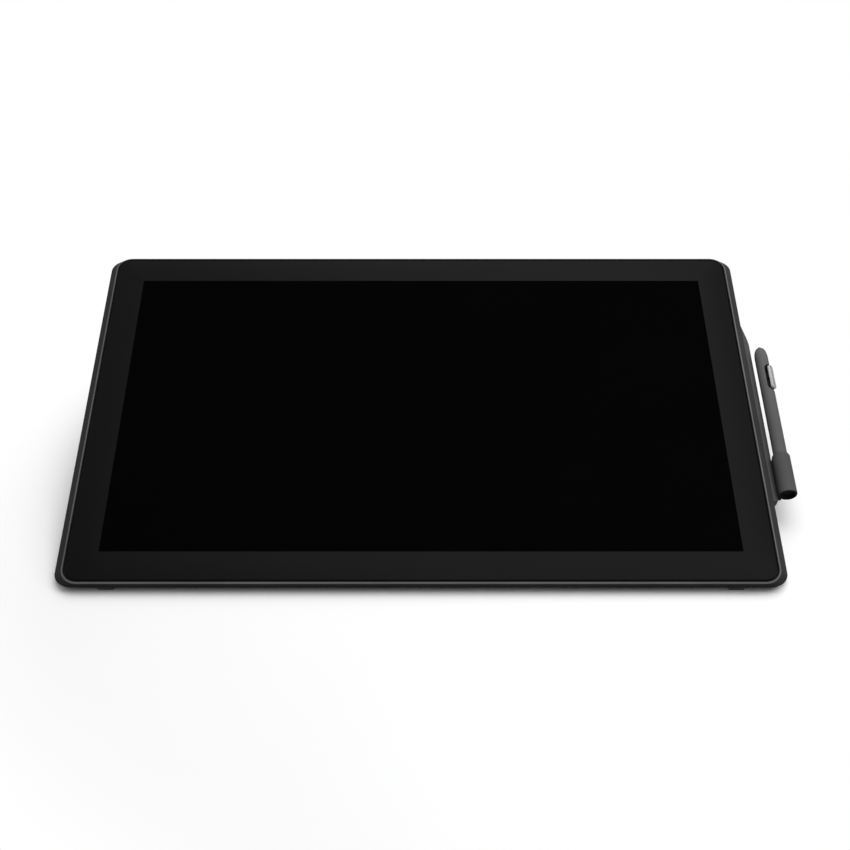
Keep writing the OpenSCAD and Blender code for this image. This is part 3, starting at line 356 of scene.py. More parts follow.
def circuit_board():
    """Solder mask over copper traces that run square to each other."""
    made, tree, shader = blank_material("circuit_board")
    place = shader_node(tree, "ShaderNodeTexCoord")
    traces = shader_node(tree, "ShaderNodeTexBrick",
                         {"Scale": TRACE_SCALE, "Mortar Size": TRACE_W, "Color1": MASK_DARK,
                          "Color2": MASK_LIGHT, "Mortar": TRACE_GREEN})
    tree.links.new(place.outputs["Object"], traces.inputs["Vector"])
    tree.links.new(traces.outputs["Color"], shader.inputs["Base Color"])
    shader.inputs["Roughness"].default_value = BOARD_ROUGHNESS
    relief(tree, shader, traces.outputs["Fac"], TRACE_HEIGHT, TRACE_RELIEF)
    return made


# Plastics and glasses take a colour, a roughness and a specular level, and metals the first two
MATERIALS = {
    "cover_glass": printed_glass("bezel_print", (0.0034, 0.0034, 0.0035), 0.35, 0.04),
    "picture_glass": printed_glass("picture_black", (0.0014, 0.0014, 0.0015), 0.35, 0.0),
    # Lighter colour of the rim's chamfer: a painted highlight of the light it catches
    "rim": moulded("rim_painted_highlight", (0.14, 0.14, 0.141), 0.5, 0.02, grain_height=0.01),
    "frame_black": moulded("frame_black", (0.043, 0.043, 0.0435), 0.55, 0.005),
    # Near-black colour of the lip and the wall beside the glass: painted shade in the gap
    "gap_painted_shade": moulded("gap_painted_shade", (0.01, 0.01, 0.0102), 0.55, 0.03),
    "cover_black": moulded("cover_black", (0.014, 0.014, 0.0145), 0.55, 0.3, grain=0.8, grain_height=0.06),
    "adhesive": moulded("adhesive", (0.02, 0.02, 0.02), 0.7, 0.2),
    "clear_plastic": moulded("clear_plastic", (0.7, 0.73, 0.75), 0.15, 0.5, grain_height=0.005),
    "cell_glass": printed_glass("cell_glass", (0.004, 0.004, 0.006), 0.1, 0.3),
    "white_film": moulded("white_film", (0.8, 0.8, 0.8), 0.6, 0.3, grain_height=0.01, contrast=0.04),
    "led_bar": moulded("led_bar", (0.8, 0.76, 0.5), 0.5, 0.3),
    "sheet_metal": metal("sheet_metal", (0.55, 0.56, 0.58), 0.4),
    "circuit_board": circuit_board(),
    "screw_steel": metal("screw_steel", (0.1, 0.1, 0.105), 0.35, stretch=(20, 20, 20)),
    "flat_cable": moulded("flat_cable", (0.6, 0.42, 0.2), 0.4, 0.4),
    "light_pipe": moulded("light_pipe", (0.7, 0.76, 0.8), 0.3, 0.5),
    "socket_plastic": moulded("socket_plastic", (0.015, 0.015, 0.016), 0.5, 0.3),
    "socket_metal": metal("socket_metal", (0.6, 0.59, 0.57), 0.28),
    "rubber_black": moulded("rubber_black", (0.026, 0.026, 0.026), 0.75, 0.2, grain=1.2, grain_height=0.08),
    # Lighter copy of the black rubber for the front feet: painted light on their lit front faces
    "foot_rubber_painted_light": moulded("foot_rubber_painted_light", (0.11, 0.11, 0.11), 0.75, 0.1, grain=1.2, grain_height=0.08),
    "bracket_metal": moulded("bracket_coat", (0.05, 0.05, 0.0505), 0.55, 0.12,
                             grain=0.9, grain_height=0.05),
    "pin_steel": metal("pin_steel", (0.6, 0.6, 0.61), 0.25),
    "leg_metal": moulded("leg_coat", (0.022, 0.022, 0.023), 0.45, 0.4, grain=0.9, grain_height=0.04),
    "washer_brass": metal("washer_brass", (0.55, 0.37, 0.16), 0.35),
    "lever_plastic": moulded("lever_plastic", (0.02, 0.02, 0.021), 0.5, 0.35),
    "brake_rubber": moulded("brake_rubber", (0.08, 0.04, 0.03), 0.85, 0.2),
    "key_plastic": moulded("key_plastic", (0.02, 0.02, 0.021), 0.45, 0.35),
    # Near-black colour of the cup's inside and underside: painted shade
    "hollow": moulded("hollow_dark", (0.009, 0.009, 0.009), 0.8, 0.1),
    "holder_plastic": moulded("holder_plastic", (0.088, 0.088, 0.0885), 0.6, 0.005),
    "pen_plastic": moulded("pen_soft_coat", (0.115, 0.115, 0.1155), 0.6, 0.005),
    # Near-black colour of the parts inside the barrel: painted shade in the switch's window
    "pen_inside_painted_shade": moulded("pen_inside_painted_shade", (0.006, 0.006, 0.006), 0.7, 0.1),
    "nib_plastic": moulded("nib_plastic", (0.02, 0.02, 0.02), 0.6, 0.3),
    "switch_silver": moulded("switch_silver", (0.5, 0.5, 0.505), 0.35, 0.3, grain_height=0.005),
    # Darker copy of the switch's silver for its dish: painted shade
    "switch_dish_painted_shade": moulded("switch_dish_painted_shade", (0.25, 0.25, 0.252), 0.4, 0.1, grain_height=0.005),
}

# Nodes whose finish isn't their slot's
# The pen's core and coil take the near-black colour of painted shade
OWN_FINISH = {"pen_core": "pen_inside_painted_shade", "pen_coil": "pen_inside_painted_shade",
              # The front feet take the lighter rubber, painted light
              "front_foot_left": "foot_rubber_painted_light", "front_foot_right": "foot_rubber_painted_light"}


# Nodes and the pieces that stand for them

def node_body(node):
    return frame["nodes"][node]["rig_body"]


def node_slot(node):
    return next(part["material_slot"] for part in frame["record"]["subparts"] if part["node"] == node)


def node_finish(node):
    """Name of a node's finish: its own where it has one, or else its slot's."""
    return OWN_FINISH.get(node, node_slot(node))


def piece(name, bm, node, finishes=(), matrix=SCREEN):
    """Make the object of a bmesh that stands for a node, in the given finishes or else the node's own."""
    bm.transform(matrix)
    mesh = bpy.data.meshes.new(name)
    bm.to_mesh(mesh)
    bm.free()
    made = bpy.data.objects.new(name, mesh)
    bpy.context.scene.collection.objects.link(made)
    for finish in finishes or [node_finish(node)]:
        mesh.materials.append(MATERIALS[finish])
    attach(made, node_body(node))
    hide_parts(node)


# Shape helpers

def rounded_loop(bm, half_w, low, high, radius, depth, middle=0.0, steps=CORNER_STEPS):
    """Face of a rounded rectangle at a depth behind the glass face."""
    corners = [bm.verts.new((middle + x, y, -depth))
               for x, y in ((-half_w, low), (half_w, low), (half_w, high), (-half_w, high))]
    face = bm.faces.new(corners)
    before = set(bm.faces) - {face}
    bmesh.ops.bevel(bm, geom=corners, offset=radius, offset_type="OFFSET", segments=steps, profile=0.5,
                    affect="VERTICES", material=-1, clamp_overlap=False)
    return next(face for face in bm.faces if face not in before)


def loft(bm, rows, closed=False):
    """Wall through rounded rectangles, with a cap at each end, or closed from its last row to its first.

    Each row is a half width, low, high, corner radius and depth, and may add a middle and corner steps.
    """
    faces = [rounded_loop(bm, *row) for row in rows]
    loops = [list(face.edges) for face in faces]
    spare = faces if closed else faces[1:-1]
    bmesh.ops.delete(bm, geom=spare, context="FACES_ONLY")
    pairs = list(zip(loops, loops[1:]))
    if closed:
        pairs.append((loops[-1], loops[0]))
    for near, far in pairs:
        bmesh.ops.bridge_loops(bm, edges=near + far)


def blended(start, end, share):
    """Row that lies a share of the way from a start to an end."""
    return [a + (b - a) * share for a, b in zip(start, end)]


def curved(start, corner, end, share):
    """Row of the curve that rounds a corner between a start and an end."""
    return blended(blended(start, corner, share), blended(corner, end, share), share)


def softened(rows):
    """Rows whose inner corners are rounded into short curves."""
    made = [rows[0]]
    for before, corner, after in zip(rows, rows[1:], rows[2:]):
        start = blended(corner, before, BACK_SOFT)
        end = blended(corner, after, BACK_SOFT)
        for step in range(BACK_SOFT_STEPS + 1):
            made.append(curved(start, corner, end, step / BACK_SOFT_STEPS))
    made.append(rows[-1])
    return made


def shade(bm, angle=SMOOTH_ANGLE):
    """Smooth faces with sharp edges where two faces meet at more than the angle."""
    bmesh.ops.recalc_face_normals(bm, faces=bm.faces)
    for face in bm.faces:
        face.smooth = True
    for edge in bm.edges:
        edge.smooth = edge.is_manifold and edge.calc_face_angle(0) < angle


def chains(edges):
    """Lists of edges that hang together."""
    left = dict.fromkeys(edges)
    made = []
    while left:
        chain = [left.popitem()[0]]
        for edge in chain:
            for link in [link for vertex in edge.verts for link in vertex.link_edges]:
                if link in left:
                    del left[link]
                    chain.append(link)
        made.append(chain)
    return made


def cleaned(bm, dist):
    """Merge points that lie closer than a distance, with the faces that collapse between them."""
    bmesh.ops.remove_doubles(bm, verts=bm.verts, dist=dist)
    bmesh.ops.dissolve_degenerate(bm, dist=dist, edges=bm.edges)


def bevelled(bm, edges, width):
    """Round edges, each chain of them by itself, so that a narrow place holds back only its own chain."""
    for chain in chains(edges):
        bmesh.ops.bevel(bm, geom=chain, offset=width, offset_type="OFFSET", segments=BEVEL_STEPS,
                        profile=0.5, affect="EDGES", material=-1, clamp_overlap=True)
    cleaned(bm, width * BEVEL_MERGE_SHARE)


def sharp_edges(bm, angle):
    return [edge for edge in bm.edges if edge.is_manifold and edge.calc_face_angle(0) > angle]


def node_copy(node):
    """Bmesh of a node, with its loose triangles merged into whole faces."""
    bm = bmesh.new()
    bm.from_mesh(frame["nodes"][node].data)
    cleaned(bm, NODE_MERGE * MM)
    bmesh.ops.dissolve_limit(bm, angle_limit=NODE_FLAT, verts=bm.verts, edges=bm.edges)
    return bm


def solids_of(node):
    """Boxes of a node's separate solids in the screen's frame."""
    bm = node_copy(node)
    bm.transform(TO_SCREEN)
    boxes = [box_of([vertex.co for edge in chain for vertex in edge.verts]) for chain in chains(bm.edges)]
    bm.free()
    return sorted(boxes, key=lambda box: tuple(box[0]))


def dressed(node, edge):
    """Piece that keeps a node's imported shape, with its hard edges rounded."""
    bm = node_copy(node)
    bevelled(bm, sharp_edges(bm, HARD_ANGLE), edge * MM)
    shade(bm)
    piece(node + "_piece", bm, node, matrix=Matrix())


# Cutting

def mark(bm, index):
    """Give every face of a shape the same material index, kept through a cut."""
    bmesh.ops.recalc_face_normals(bm, faces=bm.faces)
    for face in bm.faces:
        face.material_index = index
    return bm


def carved(bm, tool):
    """Bmesh of a shape with a tool shape cut out of it. Both are used up."""
    objects = []
    for shape in (bm, tool):
        mesh = bpy.data.meshes.new("carving")
        shape.to_mesh(mesh)
        shape.free()
        for index in range(MARK_COUNT):
            mesh.materials.append(None)
        made = bpy.data.objects.new("carving", mesh)
        bpy.context.scene.collection.objects.link(made)
        objects.append(made)
    cut = objects[0].modifiers.new("cut", "BOOLEAN")
    cut.operation = "DIFFERENCE"
    cut.solver = "EXACT"
    cut.object = objects[1]
    bpy.context.view_layer.update()
    result = bmesh.new()
    result.from_object(objects[0], bpy.context.evaluated_depsgraph_get())
    for made in objects:
        mesh = made.data
        bpy.data.objects.remove(made)
        bpy.data.meshes.remove(mesh)
    return result


def mouths(bm):
    """Edges where a cut comes out of a shape."""
    return [edge for edge in bm.edges
            if edge.is_manifold and {face.material_index for face in edge.link_faces} == {OUTSIDE, CUT}]


def box_tool(bm, low, high):
    """Closed box between two corners."""
    middle = (Vector(low) + Vector(high)) / 2
    size = Vector(high) - Vector(low)
    bmesh.ops.create_cube(bm, size=1, matrix=Matrix.Translation(middle) @ Matrix.Diagonal((*size, 1)))


def top_slot(bm, low, high, gap):
    """Slot through the top wall for a piece between two corners, with a gap round it."""
    box_tool(bm, (low.x - gap, BODY_TOP - 2 * CUT_PAST, low.z - gap),
             (high.x + gap, BODY_TOP + CUT_PAST, high.z + gap))


def post_tool(bm, x, y, radius, depths, sides=POST_SIDES):
    """Closed post along the depth axis."""
    middle = Matrix.Translation((x, y, -sum(depths) / 2))
    bmesh.ops.create_cone(bm, cap_ends=True, segments=sides, radius1=radius, radius2=radius,
                          depth=depths[1] - depths[0], matrix=middle)


def posts(bm, node, radius, depths):
    """Round post at each of a node's solids."""
    for low, high in solids_of(node):
        post_tool(bm, (low.x + high.x) / 2, (low.y + high.y) / 2, radius, depths)


# Glass and body

def under_at(depth):
    """Lowest y of the body at a depth: behind its keel the underside is level with the desk."""
    return EDGE_LOW + KEEL_IN + (depth - FRAME_D) / math.tan(TILT)


def grown(margin, depth):
    """Row of the glass outline grown by a margin."""
    return [GLASS_HALF_W + margin, -GLASS_HALF_H - margin, GLASS_HALF_H + margin, GLASS_R + margin, depth]


def widest_row(inset, depth):
    """Row of the body at its widest, drawn in by an inset."""
    return [BODY_HALF_W - inset, under_at(FRAME_D) + inset, BODY_TOP - inset, CORNER_R - inset, depth]


def cover_glass():
    """Glass with a rounded front edge, printed round its picture area."""
    finishes = ["cover_glass", "picture_glass"]
    bm = bmesh.new()
    rows = [grown(0, GLASS_T)]
    for step in range(GLASS_EDGE_STEPS + 1):
        turn = math.pi / 2 * step / GLASS_EDGE_STEPS
        inset = GLASS_EDGE * (1 - math.cos(turn))
        rows.append(grown(-inset, GLASS_EDGE * (1 - math.sin(turn))))
    loft(bm, rows)
    for x, y in ((PICTURE_HALF_W, 0), (-PICTURE_HALF_W, 0), (0, PICTURE_HALF_H), (0, -PICTURE_HALF_H)):
        bmesh.ops.bisect_plane(bm, geom=bm.verts[:] + bm.edges[:] + bm.faces[:], dist=CUT_NEAR,
                               plane_co=(x, y, 0), plane_no=(x, y, 0))
    shade(bm)
    for face in bm.faces:
        middle = face.calc_center_median()
        inside = abs(middle.x) < PICTURE_HALF_W and abs(middle.y) < PICTURE_HALF_H
        if inside and face.normal.z > GLASS_FACING:
            face.material_index = finishes.index("picture_glass")
    piece("glass_front", bm, "cover_glass", finishes)


def front_frame():
    """Frame round the glass, from the panel's window over the lip and rim to the seam with the cover."""
    finishes = ["frame_black", "rim", "gap_painted_shade"]
    rim_r = GLASS_R + GLASS_GAP + RIM_W
    share = (EDGE_H - RIM_D) / (FRAME_D - RIM_D)
    window = [PANEL_HIGH.x + PANEL_GAP, PANEL_LOW.y - PANEL_GAP, PANEL_HIGH.y + PANEL_GAP, WINDOW_R]
    seat = GLASS_T + SEAT_GAP
    lip = grown(GLASS_GAP + LIP, 0)
    rim = [RIM_HALF_W, -RIM_HALF_H, RIM_HALF_H, rim_r, RIM_D]
    edge = [RIM_HALF_W + SIDE_FLARE * share, EDGE_LOW, RIM_HALF_H + TOP_FLARE * share,
            (CORNER_R + rim_r) / 2, EDGE_H]
    widest = widest_row(0, FRAME_D)
    rim_start = blended(lip, rim, RIM_START)
    rim_end = blended(lip, rim, RIM_END)
    wall_start = blended(rim, edge, RIM_TURN)
    wall_end = blended(edge, rim, EDGE_TURN)
    under_start = blended(edge, widest, EDGE_TURN)
    rows = [
        [*window, seat],
        grown(GLASS_GAP, seat),
        *[grown(GLASS_GAP + out, depth) for out, depth in LIP_EDGE],
        lip,
        rim_start,
        rim_end,
        curved(rim_end, rim, wall_start, MIDWAY),
        wall_start,
        wall_end,
        curved(wall_end, edge, under_start, MIDWAY),
        under_start,
        blended(widest, edge, SEAM / (FRAME_D - EDGE_H)),
        widest_row(SEAM, FRAME_D),
        [*window, FRAME_D]]
    bm = bmesh.new()
    loft(bm, rows, closed=True)
    shade(bm)
    for face in bm.faces:
        middle = face.calc_center_median()
        in_gap_shade = face.normal.x * middle.x + face.normal.y * middle.y < 0
        # Forward-facing faces of the rim take a lighter colour, a painted highlight
        if rim_start[-1] < -middle.z < rim_end[-1] and face.normal.z > RIM_HIGHLIGHT_FACING:
            face.material_index = finishes.index("rim")
        # The lip and the inward wall of the gap take a near-black colour, painted shade
        elif -middle.z < rim_start[-1] or in_gap_shade:
            face.material_index = finishes.index("gap_painted_shade")
    piece("front_frame_shell", bm, "front_frame", finishes)


def cover_rows():
    """Rows of the rear cover's outside, from its front edge to the flat back."""
    return [
        widest_row(0, FRAME_D),
        [BODY_HALF_W - UPRIGHT_IN, under_at(UPRIGHT_D), BODY_TOP - UPRIGHT_DROP, CORNER_R, UPRIGHT_D],
        [BODY_HALF_W - SHOULDER_IN, under_at(SHOULDER_D), BODY_TOP - SHOULDER_DROP, BACK_R, SHOULDER_D],
        [BACK_HALF_W, under_at(BODY_T), BACK_TOP, BACK_R, BODY_T],
        [BACK_HALF_W - BACK_FLAT, under_at(BODY_T) + BACK_FLAT, BACK_TOP - BACK_FLAT, BACK_R, BODY_T]]


def cover_tools():
    """Everything that is cut out of the rear cover's wall."""
    bm = bmesh.new()
    back = BODY_T + CUT_PAST
    for index in range(VENT_COUNT):
        x = (index - (VENT_COUNT - 1) / 2) * VENT_PITCH
        slot = [VENT_W / 2, VENT_Y - VENT_L / 2, VENT_Y + VENT_L / 2, VENT_R]
        loft(bm, [[*slot, depth, x, VENT_STEPS] for depth in (UPRIGHT_D, back)])
    posts(bm, "cover_screws", WELL_R, (WELL_D, back))
    posts(bm, "bracket_screws", SCREW_HOLE_R, (SHOULDER_D, back))
    for x in (-MOUNT_HALF, MOUNT_HALF):
        for y in (MOUNT_Y - MOUNT_HALF, MOUNT_Y + MOUNT_HALF):
            post_tool(bm, x, y, MOUNT_HOLE_R, (SHOULDER_D, back))
    tray_low, tray_high = screen_box("connector_tray")
    box_tool(bm, (-BODY_HALF_W - CUT_PAST, tray_low.y - FIT_GAP, -back),
             (tray_high.x + FIT_GAP, tray_high.y + FIT_GAP, tray_high.z + FIT_GAP))
    for key in KEYS:
        low, high = screen_box(key)
        middle = (low + high) / 2
        half = Vector((KEY_W, 0, KEY_H)) / 2
        top_slot(bm, middle - half, middle + half, KEY_GAP)
    top_slot(bm, *screen_box("power_light"), FIT_GAP)
    return bm


def rear_cover():
    """Hollow cover with a sloping back, cut through for its vents, screws, mounts, sockets and keys."""
    rows = cover_rows()
    outside = bmesh.new()
    first = blended(rows[0], rows[1], SEAM / (UPRIGHT_D - FRAME_D))
    loft(outside, [widest_row(SEAM, FRAME_D), first, *softened(rows)[1:]])
    inside = bmesh.new()
    loft(inside, [[half_w - COVER_WALL, low, high - COVER_WALL, radius - COVER_WALL, depth - COVER_WALL]
                  for half_w, low, high, radius, depth in rows])
    wells = bmesh.new()
    posts(wells, "cover_screws", WELL_WALL_R, (CHASSIS_BACK, BODY_T + CUT_PAST))
    room = carved(mark(inside, INSIDE), mark(wells, INSIDE))
    shell = carved(mark(outside, OUTSIDE), room)
    bm = carved(shell, mark(cover_tools(), CUT))
    cleaned(bm, CARVE_MERGE)
    bevelled(bm, mouths(bm), MOUTH_EDGE)
    mark(bm, OUTSIDE)
    shade(bm, FLAT_ANGLE)
    piece("rear_cover_shell", bm, "rear_cover")


# Pen and its cup

PEN_LOW, PEN_HIGH = screen_box("pen_barrel")
PEN_MIDDLE = (PEN_LOW + PEN_HIGH) / 2
PEN_R = (PEN_HIGH.x - PEN_LOW.x) / 2
PEN_BORE = 4.6
PEN_EDGE = 0.12
PEN_STEPS = 64
PEN_AXIS = Vector((0, 1, 0))
PEN_FRAME = SCREEN @ Matrix.Translation((PEN_MIDDLE.x, 0, PEN_MIDDLE.z))

# Dome of the tip, and the rounded mouth that the nib comes out of
TIP_TOP = screen_box("pen_tip")[1].y
DOME_FULLNESS = 2.4
DOME_STEPS = 18
DOME_END = 0.995
NIB_HOLE_R = 1.0
NIB_MOUTH_W = 1.0
NIB_MOUTH_IN = 0.6
NIB_MOUTH_R = 0.5
NIB_MOUTH_START = math.radians(60)

TAIL_EDGE = 0.2
TAIL_GAP = 0.15
TAIL_STEPS = 12

# Side switch, turned about the barrel
SWITCH_LOW, SWITCH_HIGH = screen_box("pen_switch")
SWITCH_TURN = math.radians(46)
SWITCH_HALF_W = 3.0
SWITCH_END_FLAT = 0.05
SWITCH_TRIM = 1.9
SWITCH_L = SWITCH_HIGH.y - SWITCH_LOW.y - SWITCH_TRIM
SWITCH_PROUD = 2.0
SWITCH_TOP = PEN_R + SWITCH_PROUD
SWITCH_FLOOR = 5.3
SWITCH_EDGE_W = 0.55
SWITCH_EDGE_H = 0.9
SWITCH_GAP = 1.7
SWITCH_CUT_PAST = 2.0
SWITCH_MOUTH_EDGE = 0.25

# Dish in the switch's face: how far in from its outline, and how deep
DISH = ((0.8, 0), (1.0, 0.12), (1.2, 0.45), (1.7, 0.75), (2.3, 0.95), (2.8, 1.0))
# Bounds of the dish faces that take the darker colour of painted shade: how far in, and how deep
DISH_SHADE_IN = 1.0
DISH_SHADE_DEPTH = 0.2

CUP_EDGE = 0.5
# Reach of the cup's inside that is painted dark as shade: height above the low end, and gap past the pen
CUP_SHADE_H = 4.0
CUP_SHADE_GAP = 0.1

# Highest y of a face's normal that counts as looking out of the cup's underside, painted dark as shade
CUP_SHADE_FACING = -0.5


def turned(bm, profile, axis=PEN_AXIS, steps=PEN_STEPS, middle=(0, 0, 0)):
    """Shape turned about an axis from a profile of radius and height, then moved to a middle."""
    before = set(bm.verts)
    points = [bm.verts.new(Vector((radius, 0, 0)) + axis * height) for radius, height in profile]
    edges = [bm.edges.new(pair) for pair in zip(points, points[1:])]
    bmesh.ops.spin(bm, geom=points + edges, cent=(0, 0, 0), axis=axis, angle=math.tau, steps=steps,
                   use_merge=True)
    bmesh.ops.translate(bm, verts=[vertex for vertex in bm.verts if vertex not in before], vec=middle)
    bmesh.ops.remove_doubles(bm, verts=bm.verts, dist=SPIN_MERGE)
    bmesh.ops.recalc_face_normals(bm, faces=bm.faces)


def arc(middle, radius, start, end, steps=EDGE_STEPS):
    """Points of a round arc in a profile."""
    turns = [start + (end - start) * step / steps for step in range(steps + 1)]
    return [(middle[0] + radius * math.cos(turn), middle[1] + radius * math.sin(turn)) for turn in turns]


def switch_frame():
    """Matrix of the side switch in the pen's frame: its face looks along z."""
    middle = SWITCH_LOW.y + SWITCH_L / 2
    return Matrix.Translation((0, middle, 0)) @ Matrix.Rotation(math.pi / 2 - SWITCH_TURN, 4, "Y")


def switch_row(inset, height):
    """Row of the side switch's outline drawn in by an inset, at a height from the pen's axis."""
    half_w = SWITCH_HALF_W - inset
    half_l = SWITCH_L / 2 - inset
    return [half_w, -half_l, half_l, half_w - SWITCH_END_FLAT, -height]


def pen_barrel():
    """Tube with a window for the side switch."""
    bm = bmesh.new()
    low, high = PEN_LOW.y, PEN_HIGH.y
    turned(bm, [(PEN_BORE, low), (PEN_R - PEN_EDGE, low), (PEN_R, low + PEN_EDGE), (PEN_R, high - PEN_EDGE),
                (PEN_R - PEN_EDGE, high), (PEN_BORE, high), (PEN_BORE, low)])
    tool = bmesh.new()
    loft(tool, [switch_row(-SWITCH_GAP, PEN_BORE - SWITCH_CUT_PAST),
                switch_row(-SWITCH_GAP, PEN_R + SWITCH_CUT_PAST)])
    tool.transform(switch_frame())
    bm = carved(mark(bm, OUTSIDE), mark(tool, CUT))
    bevelled(bm, mouths(bm), SWITCH_MOUTH_EDGE)
    mark(bm, OUTSIDE)
    shade(bm, TURNED_ANGLE)
    piece("pen_barrel_shell", bm, "pen_barrel", matrix=PEN_FRAME)


def pen_tip():
    """Full dome with a rounded mouth for the nib."""
    bm = bmesh.new()
    low, high = PEN_HIGH.y, TIP_TOP
    dome = []
    for step in range(1, DOME_STEPS + 1):
        share = DOME_END * math.sin(math.pi / 2 * step / DOME_STEPS)
        radius = PEN_R * (1 - share ** DOME_FULLNESS) ** (1 / DOME_FULLNESS)
        if radius > NIB_HOLE_R + NIB_MOUTH_W:
            dome.append((radius, low + share * (high - low)))
    mouth = arc((NIB_HOLE_R + NIB_MOUTH_IN, high - NIB_MOUTH_R), NIB_MOUTH_R, NIB_MOUTH_START, math.pi)
    turned(bm, [(NIB_HOLE_R, low), (PEN_R - PEN_EDGE, low), (PEN_R, low + PEN_EDGE), *dome, *mouth,
                (NIB_HOLE_R, low)])
    shade(bm, TURNED_ANGLE)
    piece("pen_tip_dome", bm, "pen_tip", matrix=PEN_FRAME)


def pen_tail():
    """Cap of the pen's lower end: a round end, and a plug that holds it in the barrel."""
    bm = bmesh.new()
    low, top = [corner.y for corner in screen_box("pen_tail")]
    high = PEN_LOW.y
    end_r = (high - low) / 2
    plug_r = PEN_BORE - TAIL_GAP
    turned(bm, [(0, low), *arc((PEN_R - end_r, low + end_r), end_r, -math.pi / 2, 0, TAIL_STEPS),
                *arc((PEN_R - TAIL_EDGE, high - TAIL_EDGE), TAIL_EDGE, 0, math.pi / 2),
                (plug_r, high), (plug_r, top - TAIL_EDGE), (plug_r - TAIL_EDGE, top), (0, top)])
    shade(bm, TURNED_ANGLE)
    piece("pen_tail_cap", bm, "pen_tail", matrix=PEN_FRAME)


def pen_switch():
    """Plate with a rounded edge and a dish painted darker as shade, on a stem painted near-black as shade
    inside the barrel.
    """
    finishes = ["switch_silver", "switch_dish_painted_shade", "pen_inside_painted_shade"]
    bm = bmesh.new()
    rows = [switch_row(0, SWITCH_FLOOR), switch_row(0, PEN_R)]
    for step in range(EDGE_STEPS + 1):
        turn = math.pi / 2 * step / EDGE_STEPS
        rows.append(switch_row(SWITCH_EDGE_W * (1 - math.cos(turn)),
                               SWITCH_TOP - SWITCH_EDGE_H * (1 - math.sin(turn))))
    rows += [switch_row(inset, SWITCH_TOP - depth) for inset, depth in DISH]
    loft(bm, rows)
    shade(bm)
    for face in bm.faces:
        middle = face.calc_center_median()
        in_shaded_dish = middle.z < SWITCH_TOP - DISH_SHADE_DEPTH and abs(middle.x) < SWITCH_HALF_W - DISH_SHADE_IN
        # Faces inside the barrel take the near-black colour of painted shade
        if middle.z < PEN_R:
            face.material_index = finishes.index("pen_inside_painted_shade")
        # Upward-facing dish faces take the darker copy of the silver, painted shade
        elif in_shaded_dish and face.normal.z > DISH_SHADE_FACING:
            face.material_index = finishes.index("switch_dish_painted_shade")
    piece("pen_switch_plate", bm, "pen_switch", finishes, PEN_FRAME @ switch_frame())


def pen_cup():
    """Cup with rounded edges, whose inner end and underside are painted dark as shade."""
    finishes = ["holder_plastic", "hollow"]
    bm = node_copy("pen_cup")
    bm.transform(TO_SCREEN)
    bevelled(bm, sharp_edges(bm, TURNED_ANGLE), CUP_EDGE)
    shade(bm)
    low = screen_box("pen_cup")[0].y
    for face in bm.faces:
        middle = face.calc_center_median()
        off = math.hypot(middle.x - PEN_MIDDLE.x, middle.z - PEN_MIDDLE.z)
        in_hollow = off < PEN_R + CUP_SHADE_GAP and middle.y < low + CUP_SHADE_H
        if in_hollow or face.normal.y < CUP_SHADE_FACING:
            face.material_index = finishes.index("hollow")
    piece("pen_cup_shell", bm, "pen_cup", finishes)


# Brake spring, screws and rounded edges

WIRE_R = 0.35
WIRE_SIDES = 10
COIL_TURNS = 3
COIL_TURN_STEPS = 24
COIL_END = 3.0

SHANK_R = 1.45
SHANK_EDGE_W = 0.2
SHANK_EDGE_L = 0.3
HEAD_R = 3.2
HEAD_H = 2.0
HEAD_EDGE = 0.5
SCREW_STEPS = 32
SCREW_AXIS = Vector((0, 0, 1))
SOCKET_SIDES = 6
SOCKET_R = 1.664
SOCKET_D = 1.2
SOCKET_PAST = 1.0

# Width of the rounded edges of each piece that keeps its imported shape
DRESSED = {
    "front_foot_left": 0.8, "front_foot_right": 0.8, "holder_bracket": 0.4, "connector_tray": 0.3,
    "power_inlet": 0.2, "usb_socket": 0.15, "video_socket_lower": 0.15, "video_socket_upper": 0.15,
    "lock_plate": 0.1, "power_light": 0.2, "hinge_bracket_left": 0.5, "hinge_bracket_right": 0.5,
    "stand_leg": 1.2, "leg_pad": 0.8, "hinge_pins": 0.4, "pin_clips": 0.2, "friction_washers": 0.1,
    "release_lever": 0.4, "brake_pad": 0.2, "lever_pin": 0.3, "pen_nib": 0.05,
    **{key: 0.3 for key in KEYS}}


def edges_of(items):
    return [item for item in items if isinstance(item, bmesh.types.BMEdge)]


def drawn_out(bm, edges, way):
    """Extrude a loop of edges along a way, and give the points and edges of its new end."""
    made = bmesh.ops.extrude_edge_only(bm, edges=edges)["geom"]
    points = [item for item in made if isinstance(item, bmesh.types.BMVert)]
    bmesh.ops.translate(bm, verts=points, vec=way)
    return points, edges_of(made)


def lever_spring():
    """Coil round the lever's pin with two straight ends."""
    low, high = screen_box("lever_spring")
    middle = (low + high) / 2
    coil_r = (high.y - low.y) / 2 - WIRE_R
    run = high.x - low.x - 2 * WIRE_R
    steps = COIL_TURNS * COIL_TURN_STEPS
    end = (0, 0, COIL_END)
    bm = bmesh.new()
    place = Matrix.Translation((low.x + WIRE_R, middle.y + coil_r, middle.z - COIL_END))
    bmesh.ops.create_circle(bm, cap_ends=False, segments=WIRE_SIDES, radius=WIRE_R, matrix=place)
    first = bm.edges[:]
    points, ring = drawn_out(bm, first, end)
    wound = bmesh.ops.spin(bm, geom=points + ring, cent=(low.x + WIRE_R, middle.y, middle.z), axis=(1, 0, 0),
                           dvec=(run / steps, 0, 0), angle=math.tau * COIL_TURNS, steps=steps,
                           use_merge=False)["geom_last"]
    last = drawn_out(bm, edges_of(wound), end)[1]
    bmesh.ops.contextual_create(bm, geom=first)
    bmesh.ops.contextual_create(bm, geom=last)
    shade(bm, WIRE_ANGLE)
    piece("lever_spring_coil", bm, "lever_spring")


